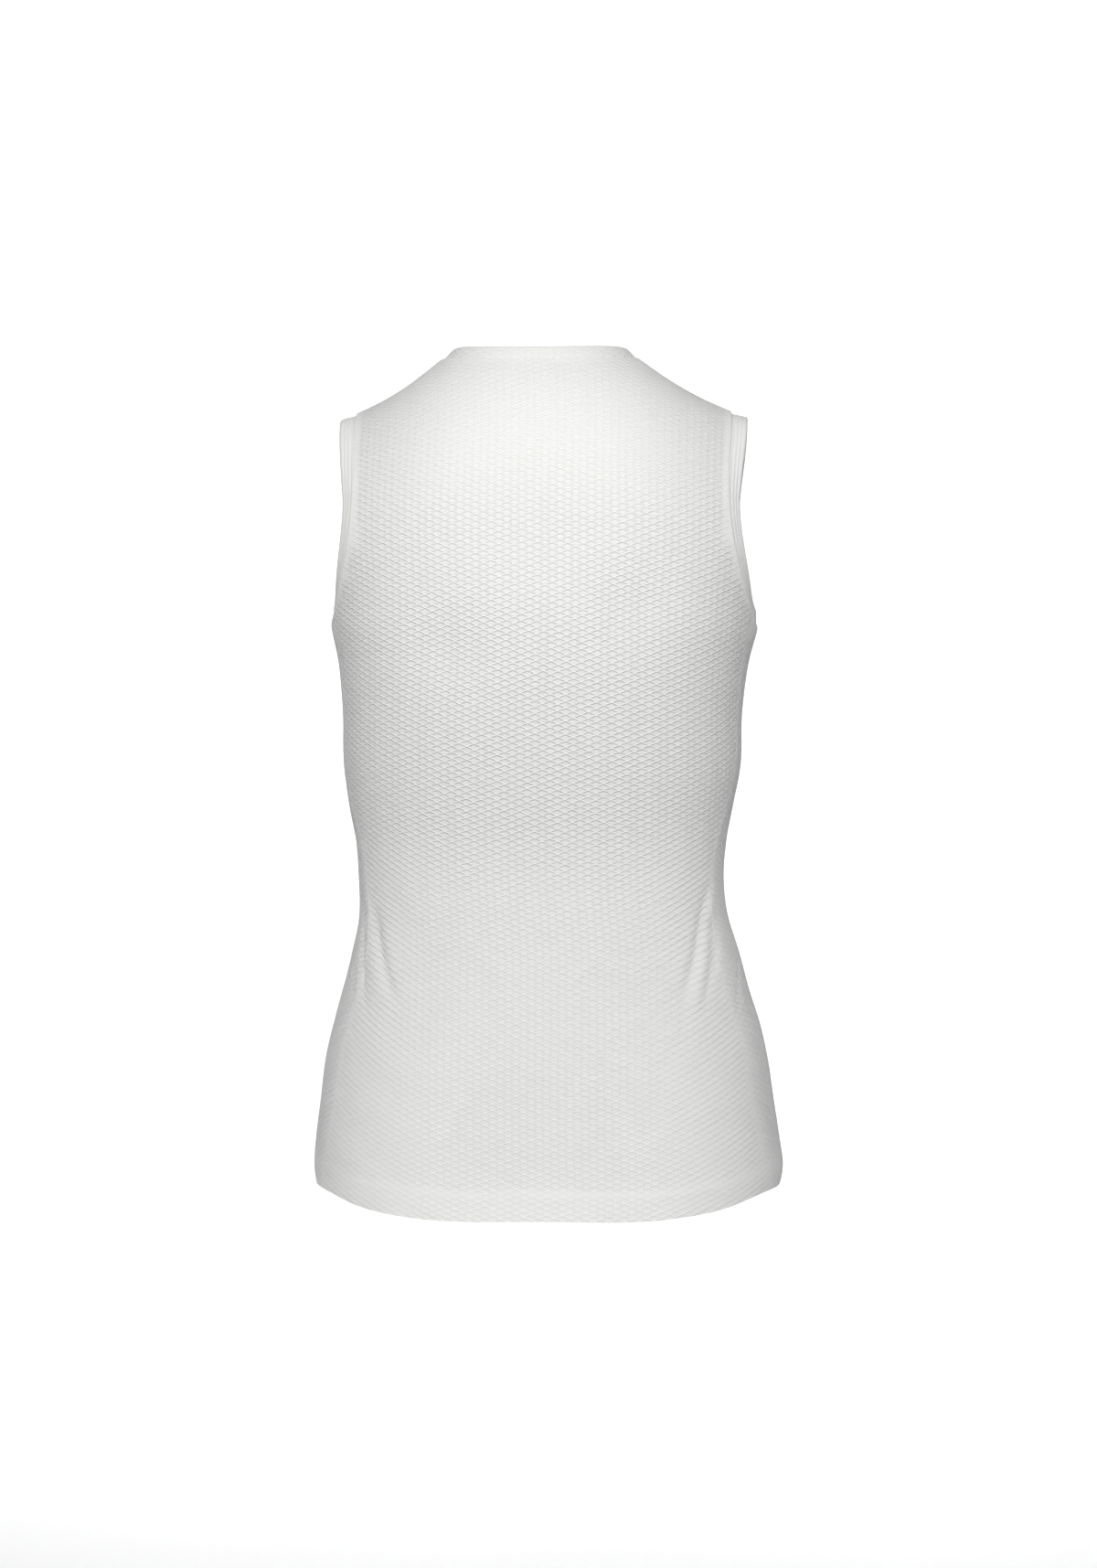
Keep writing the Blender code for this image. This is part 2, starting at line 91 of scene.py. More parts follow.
# Level sections of the skin
SECTIONS = (
    # height, half_width, back_depth, front_depth, sway
    (-0.610, 0.1558, 0.117, 0.110, -0.0010),
    (-0.590, 0.1610, 0.118, 0.111, -0.0014),
    (-0.573, 0.1649, 0.118, 0.112, -0.0018),
    (-0.549, 0.1630, 0.116, 0.113, -0.0012),
    (-0.523, 0.1594, 0.112, 0.113, -0.0008),
    (-0.497, 0.1561, 0.106, 0.112, -0.0004),
    (-0.471, 0.1504, 0.098, 0.110, -0.0004),
    (-0.445, 0.1428, 0.090, 0.108, 0.0002),
    (-0.419, 0.1361, 0.083, 0.106, 0.0004),
    (-0.393, 0.1297, 0.079, 0.104, 0.0020),
    (-0.367, 0.1285, 0.077, 0.104, 0.0036),
    (-0.341, 0.1304, 0.079, 0.105, 0.0036),
    (-0.315, 0.1352, 0.084, 0.108, 0.0036),
    (-0.289, 0.1395, 0.089, 0.111, 0.0028),
    (-0.250, 0.1406, 0.096, 0.117, 0.0026),
    (-0.211, 0.1450, 0.102, 0.119, 0.0016),
    (-0.190, 0.1500, 0.104, 0.117, 0.0010),
    (-0.172, 0.1522, 0.104, 0.114, 0.0006),
    (-0.150, 0.1570, 0.102, 0.110, 0.0006),
    (-0.130, 0.1610, 0.099, 0.106, 0.0008),
    (-0.107, 0.1630, 0.095, 0.101, 0.0010),
    (-0.080, 0.1640, 0.088, 0.096, 0.0012),
    (-0.040, 0.1640, 0.077, 0.090, 0.0014),
    (0.000, 0.1640, 0.068, 0.086, 0.0042),
    (0.030, 0.1640, 0.062, 0.084, 0.0042),
)

# Side seam, from the hem to the armhole
SIDE_SEAM = (
    # height, around
    (-0.610, 66.0),
    (-0.583, 65.0),
    (-0.560, 62.5),
    (-0.523, 60.2),
    (-0.476, 59.3),
    (-0.450, 58.0),
    (-0.425, 58.3),
    (-0.400, 61.0),
    (-0.365, 63.8),
    (-0.334, 67.0),
    (-0.302, 71.0),
    (-0.248, 72.5),
    (-0.205, 71.0),
    (-0.183, 72.5),
)

# Armhole edge of the panels
ARMHOLE_BACK = (
    # height, half_width
    (-0.190, 0.1499),
    (-0.183, 0.1470),
    (-0.172, 0.1432),
    (-0.157, 0.1390),
    (-0.130, 0.1330),
    (-0.107, 0.1305),
    (-0.080, 0.1306),
    (-0.060, 0.1317),
    (-0.03768, 0.1328),
)
ARMHOLE_FRONT = (
    # height, half_width
    (-0.190, 0.1499),
    (-0.183, 0.1470),
    (-0.172, 0.1420),
    (-0.157, 0.1370),
    (-0.130, 0.1320),
    (-0.107, 0.1300),
    (-0.080, 0.1304),
    (-0.060, 0.1317),
    (-0.03768, 0.1328),
)
UNDERARM = -0.190
SEAM_TOP = -0.183
FRONT_TURN = -0.160
SHOULDER_TIP = -0.03768

# Lower edge of the hem, all round
HEM_LINE = (
    # around, height
    (0.0, -0.5980),
    (30.0, -0.5975),
    (45.0, -0.5930),
    (60.0, -0.5850),
    (90.0, -0.5815),
    (130.0, -0.5770),
    (180.0, -0.5750),
)

# Soft fullness over the shoulder blades and bust, and the hollow down the spine
FULLNESS = (
    # around, height, spread_around, spread_up, stand
    (21, -0.118, 13, 0.036, 0.0026),
    (-23, -0.118, 13, 0.036, 0.0026),
    (0, -0.200, 9, 0.110, -0.0022),
    (0, -0.370, 12, 0.055, -0.0018),
    (150, -0.215, 17, 0.042, 0.0030),
    (-150, -0.215, 17, 0.042, 0.0030),
    (180, -0.225, 9, 0.050, -0.0016),
    # under the shoulder blades, left and right
    (24, -0.207, 11, 0.030, -0.0042),
    (-25, -0.181, 11, 0.028, -0.0038),
)

# Soft folds: height and angle around of the top, middle and bottom of each trough, its half width and depth
FOLDS = (
    # top, middle, bottom, half_width, depth
    # at the back of the waist, right and left
    ((-0.367, -63), (-0.424, -47), (-0.466, -37), 0.0056, 0.0024),
    ((-0.390, -62), (-0.435, -52), (-0.464, -45), 0.0046, 0.0018),
    ((-0.352, -62), (-0.416, -42), (-0.484, -27), 0.0140, 0.0008),
    ((-0.378, 60), (-0.423, 50), (-0.458, 39), 0.0056, 0.0022),
    ((-0.383, 70), (-0.428, 60), (-0.464, 50), 0.0046, 0.0016),
    ((-0.356, 58), (-0.410, 40), (-0.470, 26), 0.0140, 0.0008),
    # across the left hip, and at the back of the left armhole
    ((-0.490, 60), (-0.505, 47), (-0.523, 34), 0.0200, 0.0009),
    ((-0.139, 38), (-0.154, 45), (-0.168, 54), 0.0070, 0.0008),
    # at the front of the waist, left and right
    ((-0.372, 117), (-0.420, 129), (-0.463, 141), 0.0055, 0.0022),
    ((-0.348, 122), (-0.410, 142), (-0.478, 155), 0.0120, 0.0015),
    ((-0.366, -115), (-0.424, -126), (-0.458, -137), 0.0052, 0.0022),
    ((-0.385, -106), (-0.431, -116), (-0.472, -124), 0.0045, 0.0015),
    ((-0.354, -119), (-0.415, -138), (-0.470, -151), 0.0120, 0.0016),
    # from under the arms across the front
    ((-0.172, 122), (-0.196, 131), (-0.228, 140), 0.0080, 0.0014),
    ((-0.176, -120), (-0.202, -130), (-0.236, -141), 0.0080, 0.0015),
)
# Height of the ridges beside a fold as a share of its depth, how many half widths they lie from its middle,
# and the power of the sine wave that fades its depth out at both ends
FOLD_RIDGE, RIDGE_PLACE, FOLD_FADE = 0.15, 1.9, 0.7
# Finer folds beside them
SMALL_FOLDS = (
    # top, middle, bottom, half_width, depth
    ((-0.383, -67), (-0.405, -62), (-0.432, -55), 0.0030, 0.0010),
    ((-0.400, -90), (-0.437, -70), (-0.468, -58), 0.0040, 0.0014),
    ((-0.420, 70), (-0.440, 64), (-0.458, 60), 0.0030, 0.0010),
    ((-0.392, 98), (-0.428, 109), (-0.468, 117), 0.0042, 0.0013),
    ((-0.410, -96), (-0.440, -103), (-0.466, -109), 0.0034, 0.0010),
    ((-0.145, -143), (-0.166, -133), (-0.186, -124), 0.0055, 0.0010),
)

# Knit: how its courses lie. They tilt a little, smile over the waist and hips, and tighten below the hip.
SKEW = 0.035
BOW = (
    # height, bow per metre of half width squared
    (-0.610, 0.30),
    (-0.560, 0.32),
    (-0.480, 0.62),
    (-0.420, 0.72),
    (-0.360, 0.66),
    (-0.300, 0.30),
    (-0.240, 0.08),
    (-0.180, 0.00),
    (0.060, 0.00),
)
TIGHT_BELOW = -0.500
TIGHTENING = 0.92
# Grid steps for a diamond each way, and for one face of the plain inside where that is flat to so little
STEPS_PER_DIAMOND = 4
BLOCK = 4
NEARLY_FLAT = 0.00045
# The front is stretched a little more over the chest, so its diamonds are larger.
FRONT_STRETCH = 1.045
# The flat cloth that a panel is cut from: half its width in front and behind, and its lower and upper end
FRONT_REACH, BACK_REACH, CLOTH_LOW, CLOTH_HIGH = 0.31, 0.185, -0.66, 0.06
# From the waist down the cloth is stretched aslant at the sides, and the ribs that cross the pull are this
# much lower
FLATTENED = 0.70
ASLANT_FROM, ASLANT_OVER = 0.045, 0.070
ASLANT_BELOW, ASLANT_FADE = -0.300, 0.080
# How much flatter the whole knit is where it is stretched over the hips, and between the shoulders, where a
# flatter, paler knit with less painted shadow is a painted highlight for the light washing it out
HIP_CALM, YOKE_HIGHLIGHT_FADE, CALM_FADE = 0.08, 0.50, 0.080
YOKE_FROM, YOKE_HALF_WIDTH, YOKE_SIDE_FADE = -0.125, 0.13, 0.06
# The share of the ribs' height that is left beside a binding, a seam and the hem's stitches, and on the
# hem, and how far from each edge it starts to rise and over how much, and how wide the stitches reach
AT_BINDING, AT_SEAM, AT_STITCHES, ON_HEM = 0.12, 0.45, 0.35, 0.70
ARMHOLE_CLEAR, NECK_CLEAR, SEAM_CLEAR = (0.0035, 0.004), (0.0025, 0.004), (0.0012, 0.003)
STITCHES_REACH = 0.0022
# The power that makes a cosine wave a rib, and how much of a rib's height lies below the skin
RIB_POWER, RIB_BELOW = 2.6, 0.35
# Where the cloth is drawn in: puckers beside a binding, its edges, and the groove of the hem's stitches
PUCKER, PUCKER_PITCH = 0.00018, 0.0046
EDGE_DRAWN_IN, EDGE_WIDTH = 0.00080, 0.0014
GROOVE, GROOVE_WIDTH, GROOVE_ABOVE = 0.00075, 0.0013, 0.0004
# Painted shadow along the hem's stitching: how dark, how far above the hem's turn, and how wide
HEM_SHADOW, HEM_SHADOW_ABOVE, HEM_SHADOW_WIDTH = 0.30, 0.0010, 0.0011
# The hem's second layer ends so far below its stitches, over so much
HEM_END, HEM_END_OVER = 0.0006, 0.0012

# Sewing: radii of the threads, and the pitch, length and sag of the stitches
THREAD, COVER_THREAD, HEM_THREAD = 0.00018, 0.00017, 0.00013
ARMHOLE_STITCH = (0.0024, 0.0021, 0.0003)
NECK_STITCH = (0.0025, 0.0021, 0.0003)
HEM_STITCH = (0.0027, 0.0022, 0.0003)
COVER_PITCH = 0.0023
# Two rows of stitches at the armholes and neck: how far they lie from the joint, and above the skin
ARMHOLE_ROWS, ARMHOLE_LIFT = (0.0010, 0.0051), 0.00045
NECK_ROWS, NECK_LIFT = (0.0012, 0.0050), 0.0002
# The hem's one row lies in its groove.
HEM_LIFT = -0.00045
# Tapes along an armhole: how far from the joint and above the skin they lie, half width, and thickness. The
# one in the joint is a dark strip of painted shadow.
COVER_TAPE = (0.0031, 0.00012, 0.0022, 0.00030)
JOINT_SHADE_TAPE = (0.0001, -0.00060, 0.0009, 0.00025)
# Thread back and forth over the cover tape: from and to how far from the joint, how high, and how much
# higher as it crosses
COVER_REACH, COVER_LIFT, COVER_RISE = (0.0012, 0.0049), 0.00050, 0.00012
# Tapes along a seam: how high they lie, half their width and thickness, and the thread over them. The lower
# tape is a dark strip of painted shadow in the seam's groove.
SEAM_SHADE_TAPE = (-0.00030, 0.0021, 0.00012)
SEAM_COVER = (0.00002, 0.0012, 0.00030)
SEAM_LIFT, SEAM_RISE = 0.00045, 0.00015
# Back and forth on the four quarters of a stitch
WAVE = np.array([-1.0, 0.0, 1.0, 0.0])
# Half the reach of a difference that stands for a slope, along the skin and around it
NEAR, NEAR_TURN = 0.0006, 0.0042

# Tables of arc length around the skin's sections, and over the shoulders
LEVELS = np.linspace(-0.620, 0.030, 131)
TURNS = np.linspace(0, math.pi, 721)
REACH_STEP = 0.0005
REACH = np.arange(0, 0.480, REACH_STEP)
TOP_LEVEL = -0.020
SHOULDER_DEPTH = 0.80
# Length of cloth near the sides for one radian, as a share of the section's half width
TURN_TO_LENGTH = 0.85
CLIMB_TURN = np.linspace(math.pi / 2, 0, 181)


def column(table, index):
    return np.array([row[index] for row in table])


def smooth(at, values, where):
    """A cubic through the rows of a table, each row's slope taken from its neighbours."""
    slopes = np.gradient(values, at)
    i = np.clip(np.searchsorted(at, where) - 1, 0, len(at) - 2)
    step = at[i + 1] - at[i]
    t = np.clip((where - at[i]) / step, 0, 1)
    return (
        (1 + 2 * t) * (1 - t) ** 2 * values[i]
        + t * (1 - t) ** 2 * step * slopes[i]
        + t**2 * (3 - 2 * t) * values[i + 1]
        + t**2 * (t - 1) * step * slopes[i + 1]
    )


def read(table, key, where):
    return smooth(column(table, 0), column(table, key), where)


def unit(vectors):
    return vectors / np.maximum(np.linalg.norm(vectors, axis=-1, keepdims=True), 1e-12)


def ease(value):
    """A smooth step: 0 below 0, 1 above 1, and 3v squared less 2v cubed between."""
    v = np.clip(value, 0, 1)
    return v * v * (3 - 2 * v)


def rise(value, start, over):
    return ease((value - start) / over)


def bell(value, width):
    """A bell curve: e to the power of minus the square of value over width."""
    return np.exp(-((value / width) ** 2))


def from_least(least, share):
    return least + (1 - least) * share


def wrapped(angle):
    """The same angle between minus and plus half a turn."""
    return (angle + math.pi) % (2 * math.pi) - math.pi


def side_of(value):
    return np.where(value < 0, -1, 1)


def run_length(path):
    """Length along a path at each of its points."""
    return np.concatenate([[0], np.cumsum(np.linalg.norm(np.diff(path, axis=0), axis=1))])


def tangents_of(path, closed):
    if closed:
        return unit(np.roll(path, -1, axis=0) - np.roll(path, 1, axis=0))
    return unit(np.gradient(path, axis=0))


# ---------------------------------------------------------------- the skin


def shoulder_line(x):
    """Height of the shoulder line: a slope down to the shoulder point that sags by half a sine wave, and a
    soft crown across the neck."""
    crown = SHOULDER_SLOPE * (NECK_HALF_WIDTH - CROWN / 2 - x**2 / (2 * CROWN))
    share = np.clip((np.abs(x) - NECK_HALF_WIDTH) / (SHOULDER_POINT - NECK_HALF_WIDTH), 0, 1)
    slope = SHOULDER_SLOPE * (NECK_HALF_WIDTH - np.abs(x)) - SHOULDER_SAG * np.sin(math.pi * share)
    return np.where(np.abs(x) < CROWN, crown, slope)


def neck_line(x, front):
    share = np.clip(1 - (x / NECK_HALF_WIDTH) ** 2, 0, 1)
    return -FRONT_NECK_DROP * share if front else -BACK_NECK_DROP * share


def section(around, height):
    """A level section, a squared ellipse that is deeper in front than behind, as x and y."""
    s, c = np.sin(around), np.cos(around)
    size = (np.abs(s) ** SQUARENESS + np.abs(c) ** SQUARENESS) ** (1 / SQUARENESS)
    depth = np.where(c > 0, read(SECTIONS, 2, height), read(SECTIONS, 3, height))
    return read(SECTIONS, 1, height) * s / size, depth * c / size


def around_at(x, height, front=False):
    across = np.clip(np.abs(x) / read(SECTIONS, 1, height), 0, 1)
    along = (1 - across**SQUARENESS) ** (1 / SQUARENESS)
    return side_of(x) * np.arctan2(across, -along if front else along)


def relief(around, height):
    """How far the skin stands out from its level sections: soft mounds and hollows, and folds. A fold is a
    trough between two lower ridges, and fades out at both ends."""
    turn = wrapped(around)
    total = np.zeros(np.broadcast(around, height).shape)
    for middle, level, spread_around, spread_up, stand in FULLNESS:
        off = wrapped(turn - math.radians(middle))
        total += stand * bell(off, math.radians(spread_around)) * bell(height - level, spread_up)
    for top, middle, bottom, half_width, depth in FOLDS + SMALL_FOLDS:
        line = np.array((bottom, middle, top))
        centre = smooth(line[:, 0], np.radians(line[:, 1]), height)
        share = np.clip((height - bottom[0]) / (top[0] - bottom[0]), 0, 1)
        aside = (turn - centre) * read(SECTIONS, 1, height) / half_width
        form = FOLD_RIDGE * bell(np.abs(aside) - RIDGE_PLACE, 1.0) - bell(aside, 1.0)
        total += depth * np.sin(math.pi * share) ** FOLD_FADE * form
    return total


def skin(around, height):
    """Points of the outer skin: a level section whose depth shrinks to nothing near the shoulder line, as a
    quarter circle does, moved out by the relief and sideways by the sway."""
    x, y = section(around, height)
    s, c = np.sin(around), np.cos(around)
    below = (shoulder_line(x) - height) / np.where(c > 0, BACK_ROUNDING, FRONT_ROUNDING)
    y = y * np.sqrt(1 - (1 - np.clip(below, 0, 1)) ** 2)
    out = relief(around, height)
    return np.stack([x + out * s + read(SECTIONS, 4, height), y + out * c, height + 0 * x], axis=-1)


def skin_frame(around, height):
    """Points of the skin, its outward normals, and the direction around it."""
    sideways = skin(around + NEAR_TURN, height) - skin(around - NEAR_TURN, height)
    upwards = skin(around, height + NEAR) - skin(around, height - NEAR)
    return skin(around, height), unit(np.cross(upwards, sideways)), unit(sideways)


def seam_around(height):
    return np.radians(read(SIDE_SEAM, 1, height))


def hem_height(around):
    return read(HEM_LINE, 1, np.degrees(np.abs(wrapped(around))))


# ---------------------------------------------------------------- flat cloth on the skin


def arc_tables():
    """Arc length from the centre back at each level and turn, and the turns at even lengths from the centre
    back and from the centre front."""
    x, y = section(TURNS[None, :], LEVELS[:, None])
    steps = np.hypot(np.diff(x, axis=1), np.diff(y, axis=1))
    length = np.concatenate([np.zeros((len(LEVELS), 1)), np.cumsum(steps, axis=1)], axis=1)
    from_back = np.array([np.interp(REACH, row, TURNS) for row in length])
    from_front = np.array([np.interp(REACH, row[-1] - row[::-1], TURNS[::-1]) for row in length])
    return length, from_back, from_front


def climb_table():
    """Arc length over a quarter ellipse, in radii, from the start of the rounding to the shoulder line."""
    pace = np.sqrt(np.sin(CLIMB_TURN) ** 2 + (SHOULDER_DEPTH * np.cos(CLIMB_TURN)) ** 2)
    steps = (pace[1:] + pace[:-1]) / 2 * -np.diff(CLIMB_TURN)
    return np.concatenate([[0], np.cumsum(steps)])


ARC_LENGTH, TURN_FROM_BACK, TURN_FROM_FRONT = arc_tables()
CLIMB = climb_table()


def look_up(table, level, place):
    """Bilinear reading of a table by height and by a fractional column."""
    row = np.clip((level - LEVELS[0]) / (LEVELS[1] - LEVELS[0]), 0, len(LEVELS) - 1.001)
    place = np.clip(place, 0, table.shape[1] - 1.001)
    i, j = row.astype(int), place.astype(int)
    a, b = row - i, place - j
    low = (1 - b) * table[i, j] + b * table[i, j + 1]
    high = (1 - b) * table[i + 1, j] + b * table[i + 1, j + 1]
    return (1 - a) * low + a * high


def climbed(below):
    """Arc length over the shoulders' rounding, in radii, at so many radii below the shoulder line."""
    return np.interp(np.arccos(np.clip(1 - below, 0, 1)), CLIMB_TURN[::-1], CLIMB[::-1])


def climb(along, x, rounding):
    """Height of a place that is so far along the cloth: the same up to the rounding, then over it."""
    start = shoulder_line(x) - rounding
    turn = np.interp((along - start) / rounding, CLIMB, CLIMB_TURN)
    return np.where(along <= start, along, shoulder_line(x) - rounding * (1 - np.cos(turn)))


def to_skin(across, along, front):
    """Angle around and height of a place on a panel's flat cloth."""
    rounding = FRONT_ROUNDING if front else BACK_ROUNDING
    height = np.minimum(along, TOP_LEVEL)
    turn = look_up(TURN_FROM_FRONT if front else TURN_FROM_BACK, height, np.abs(across) / REACH_STEP)
    around = side_of(across) * turn
    for _ in range(3):
        height = climb(along, section(around, height)[0], rounding)
    return around, height


def to_cloth(around, height, front):
    """Place on a panel's flat cloth of an angle around and a height."""
    rounding = FRONT_ROUNDING if front else BACK_ROUNDING
    line = shoulder_line(section(around, height)[0])
    below = (line - height) / rounding
    along = np.where(below >= 1, height, line - rounding + rounding * climbed(below))
    level = np.minimum(along, TOP_LEVEL)
    places = np.abs(around) / (TURNS[1] - TURNS[0])
    length = look_up(ARC_LENGTH, level, places)
    if front:
        length = look_up(ARC_LENGTH, level, np.full(np.shape(places), len(TURNS) - 1.0)) - length
    return side_of(around) * length, along


def on_skin(across, along, front):
    return skin(*to_skin(across, along, front))


def cloth_frame(across, along, front):
    """Points of flat places on the skin, with the skin's outward normals there."""
    sideways = on_skin(across + NEAR, along, front) - on_skin(across - NEAR, along, front)
    upwards = on_skin(across, along + NEAR, front) - on_skin(across, along - NEAR, front)
    normals = unit(np.cross(upwards, sideways))
    return on_skin(across, along, front), -normals if front else normals


def courses(drop, across, level):
    """How far along the cloth a course lies: it tilts, smiles over the hips and is tighter below them."""
    x = section(look_up(TURN_FROM_BACK, level, np.abs(across) / REACH_STEP), level)[0]
    along = np.where(drop < TIGHT_BELOW, TIGHT_BELOW + (drop - TIGHT_BELOW) * TIGHTENING, drop)
    return along + read(BOW, 1, level) * x**2 + SKEW * side_of(across) * x


# ---------------------------------------------------------------- panels


def edge_values(across, along, front):
    """How far inside each of a panel's edges a place is, in metres, negative outside: the side with its
    armhole, the hem, and the shoulders with the neckline."""
    around, height = to_skin(across, along, front)
    rounding = FRONT_ROUNDING if front else BACK_ROUNDING
    size = TURN_TO_LENGTH * read(SECTIONS, 1, height)
    x = section(around, height)[0]
    start = shoulder_line(x) - rounding
    neck = start + rounding * climbed((shoulder_line(x) - neck_line(x, front)) / rounding)
    top = np.where(np.abs(x) < NECK_HALF_WIDTH, neck, start + rounding * CLIMB[-1]) - along
    hem = height - hem_height(around)
    turn = np.abs(around)
    if not front:
        edge = np.where(height < SEAM_TOP, seam_around(height), armhole_around(height, False))
        return (edge - turn) * size - SEAM_GAP / 2, hem, top
    seam = (turn - seam_around(height)) * size - SEAM_GAP / 2
    armhole = np.maximum(underarm_height(turn) - height, (turn - armhole_around(height, True)) * size)
    return np.where(height < SEAM_TOP, np.minimum(seam, armhole), armhole), hem, top


def armhole_around(height, front):
    return around_at(read(ARMHOLE_FRONT if front else ARMHOLE_BACK, 1, height), height, front)


def underarm_height(turn):
    """Height of the armhole edge under the arm, from the side seam to where it turns up the front."""
    behind = np.linspace(SEAM_TOP, UNDERARM, 20)[1:]
    ahead = np.linspace(UNDERARM, FRONT_TURN, 40)[1:]
    turns = [[seam_around(SEAM_TOP)], armhole_around(behind, False), armhole_around(ahead, True)]
    angle = np.concatenate(turns)
    return np.interp(turn, angle, np.concatenate([[SEAM_TOP], behind, ahead]))


def trim(places, faces, cells, inside):
    """Cut a triangle mesh along the line where a value turns negative. A cut triangle keeps its part
    inside, as one or two triangles, with new corners where its sides cross the line."""
    inside = np.where(np.abs(inside) < 1e-6, -1e-6, inside)
    kept = inside > 0
    count = kept[faces].sum(axis=1)
    cut = faces[(count == 1) | (count == 2)]
    odd_kept = (kept[cut].sum(axis=1) == 1)[:, None]
    lead = np.argmax(kept[cut] == odd_kept, axis=1)
    odd, left, right = (cut[np.arange(len(cut)), (lead + k) % 3] for k in range(3))
    pairs = np.sort(np.concatenate([np.stack([odd, left], 1), np.stack([odd, right], 1)]), axis=1)
    unique, which = np.unique(pairs, axis=0, return_inverse=True)
    which = which.ravel() + len(places)
    near, far = inside[unique[:, 0]], inside[unique[:, 1]]
    share = (near / (near - far))[:, None]
    added = places[unique[:, 0]] * (1 - share) + places[unique[:, 1]] * share
    on_left, on_right = which[: len(cut)], which[len(cut) :]
    one = odd_kept[:, 0]
    new = [
        np.stack([odd, on_left, on_right], 1)[one],
        np.stack([on_left, left, right], 1)[~one],
        np.stack([on_left, right, on_right], 1)[~one],
    ]
    faces = np.concatenate([faces[count == 3], *new])
    cells = np.concatenate([cells[count == 3], np.full(sum(map(len, new)), -1)])
    return np.concatenate([places, added]), faces, cells


def knit_grid(front, wale, course):
    """A panel's flat cloth, cut out of a grid with its lines on the knit's ribs. Each place is its distance
    across and along, and its wale and course, and each triangle has the number of its block of grid cells,
    or -1 where it was cut."""
    half = FRONT_REACH if front else BACK_REACH
    step_across, step_along = wale / STEPS_PER_DIAMOND, course / STEPS_PER_DIAMOND
    steps = int(half / step_across / BLOCK + 1) * BLOCK
    low = int(CLOTH_LOW / step_along / BLOCK - 1) * BLOCK
    high = int(CLOTH_HIGH / step_along / BLOCK + 1) * BLOCK
    i, j = np.meshgrid(np.arange(-steps, steps + 1), np.arange(low, high + 1))
    across = i * wale / STEPS_PER_DIAMOND
    drop = j * course / STEPS_PER_DIAMOND
    along = courses(drop, across, np.clip(drop, LEVELS[0], TOP_LEVEL))
    rows, columns = i.shape
    places = np.stack([across, along, i / STEPS_PER_DIAMOND, j / STEPS_PER_DIAMOND], axis=-1).reshape(-1, 4)
    first = np.arange(rows * columns).reshape(rows, columns)[:-1, :-1]
    a, b, c, d = first, first + 1, first + columns + 1, first + columns
    rising = ((i + j) % 2 == 0)[:-1, :-1]
    lower = np.where(rising, [a, b, c], [a, b, d])
    upper = np.where(rising, [a, c, d], [b, c, d])
    faces = np.concatenate([lower.reshape(3, -1).T, upper.reshape(3, -1).T])
    block = (first // columns // BLOCK) * (columns // BLOCK + 1) + first % columns // BLOCK
    cells = np.tile(block.ravel(), 2)
    for edge in range(3):
        values = edge_values(places[:, 0], places[:, 1], front)[edge]
        places, faces, cells = trim(places, faces, cells, values)
    return places, faces, cells, columns


def diamond_relief(wale_at, course_at, lean):
    """Height of the knit's ribs from 0 to 1: ridges along the lines where wale plus course, or wale less
    course, is whole, each a power of a cosine wave, and joined as one less the product of their hollows.
    Where the cloth is stretched aslant, one family of ridges flattens."""
    waves = [0.5 + 0.5 * np.cos(2 * math.pi * (wale_at + k * course_at)) for k in (1, -1)]
    ridges = [wave**RIB_POWER for wave in waves]
    ridges[0] *= 1 - FLATTENED * np.maximum(lean, 0)
    ridges[1] *= 1 - FLATTENED * np.maximum(-lean, 0)
    return 1 - (1 - ridges[0]) * (1 - ridges[1])


def vertex_normals(points, faces):
    corners = points[faces]
    leaning = np.cross(corners[:, 1] - corners[:, 0], corners[:, 2] - corners[:, 0])
    total = np.zeros(points.shape)
    for k in range(3):
        np.add.at(total, faces[:, k], leaning)
    return unit(total)


def rim_edges(faces):
    """The edges that only one triangle has, in its own direction."""
    edges = np.concatenate([faces[:, [k, (k + 1) % 3]] for k in range(3)])
    code = edges[:, 0] * (edges.max() + 1) + edges[:, 1]
    back = edges[:, 1] * (edges.max() + 1) + edges[:, 0]
    return edges[~np.isin(code, back)]


def flat_blocks(base, columns, rows):
    """Whether each block of grid cells is nearly flat: all its points lie close to the plane mix of its
    corners."""
    grid = base[: columns * (rows + 1)].reshape(rows + 1, columns, 3)
    share = np.arange(BLOCK + 1) / BLOCK
    low, high = grid[:-1:BLOCK], grid[BLOCK::BLOCK]
    worst = np.zeros((rows // BLOCK, columns // BLOCK + 1))
    for j in range(BLOCK + 1):
        side = low * (1 - share[j]) + high * share[j]
        for i in range(BLOCK + 1):
            meant = side[:, :-1:BLOCK] * (1 - share[i]) + side[:, BLOCK::BLOCK] * share[i]
            there = grid[j : rows + 1 - BLOCK + j : BLOCK, i : columns - BLOCK + i : BLOCK]
            worst[:, :-1] = np.maximum(worst[:, :-1], np.linalg.norm(there - meant, axis=2))
    return worst < NEARLY_FLAT


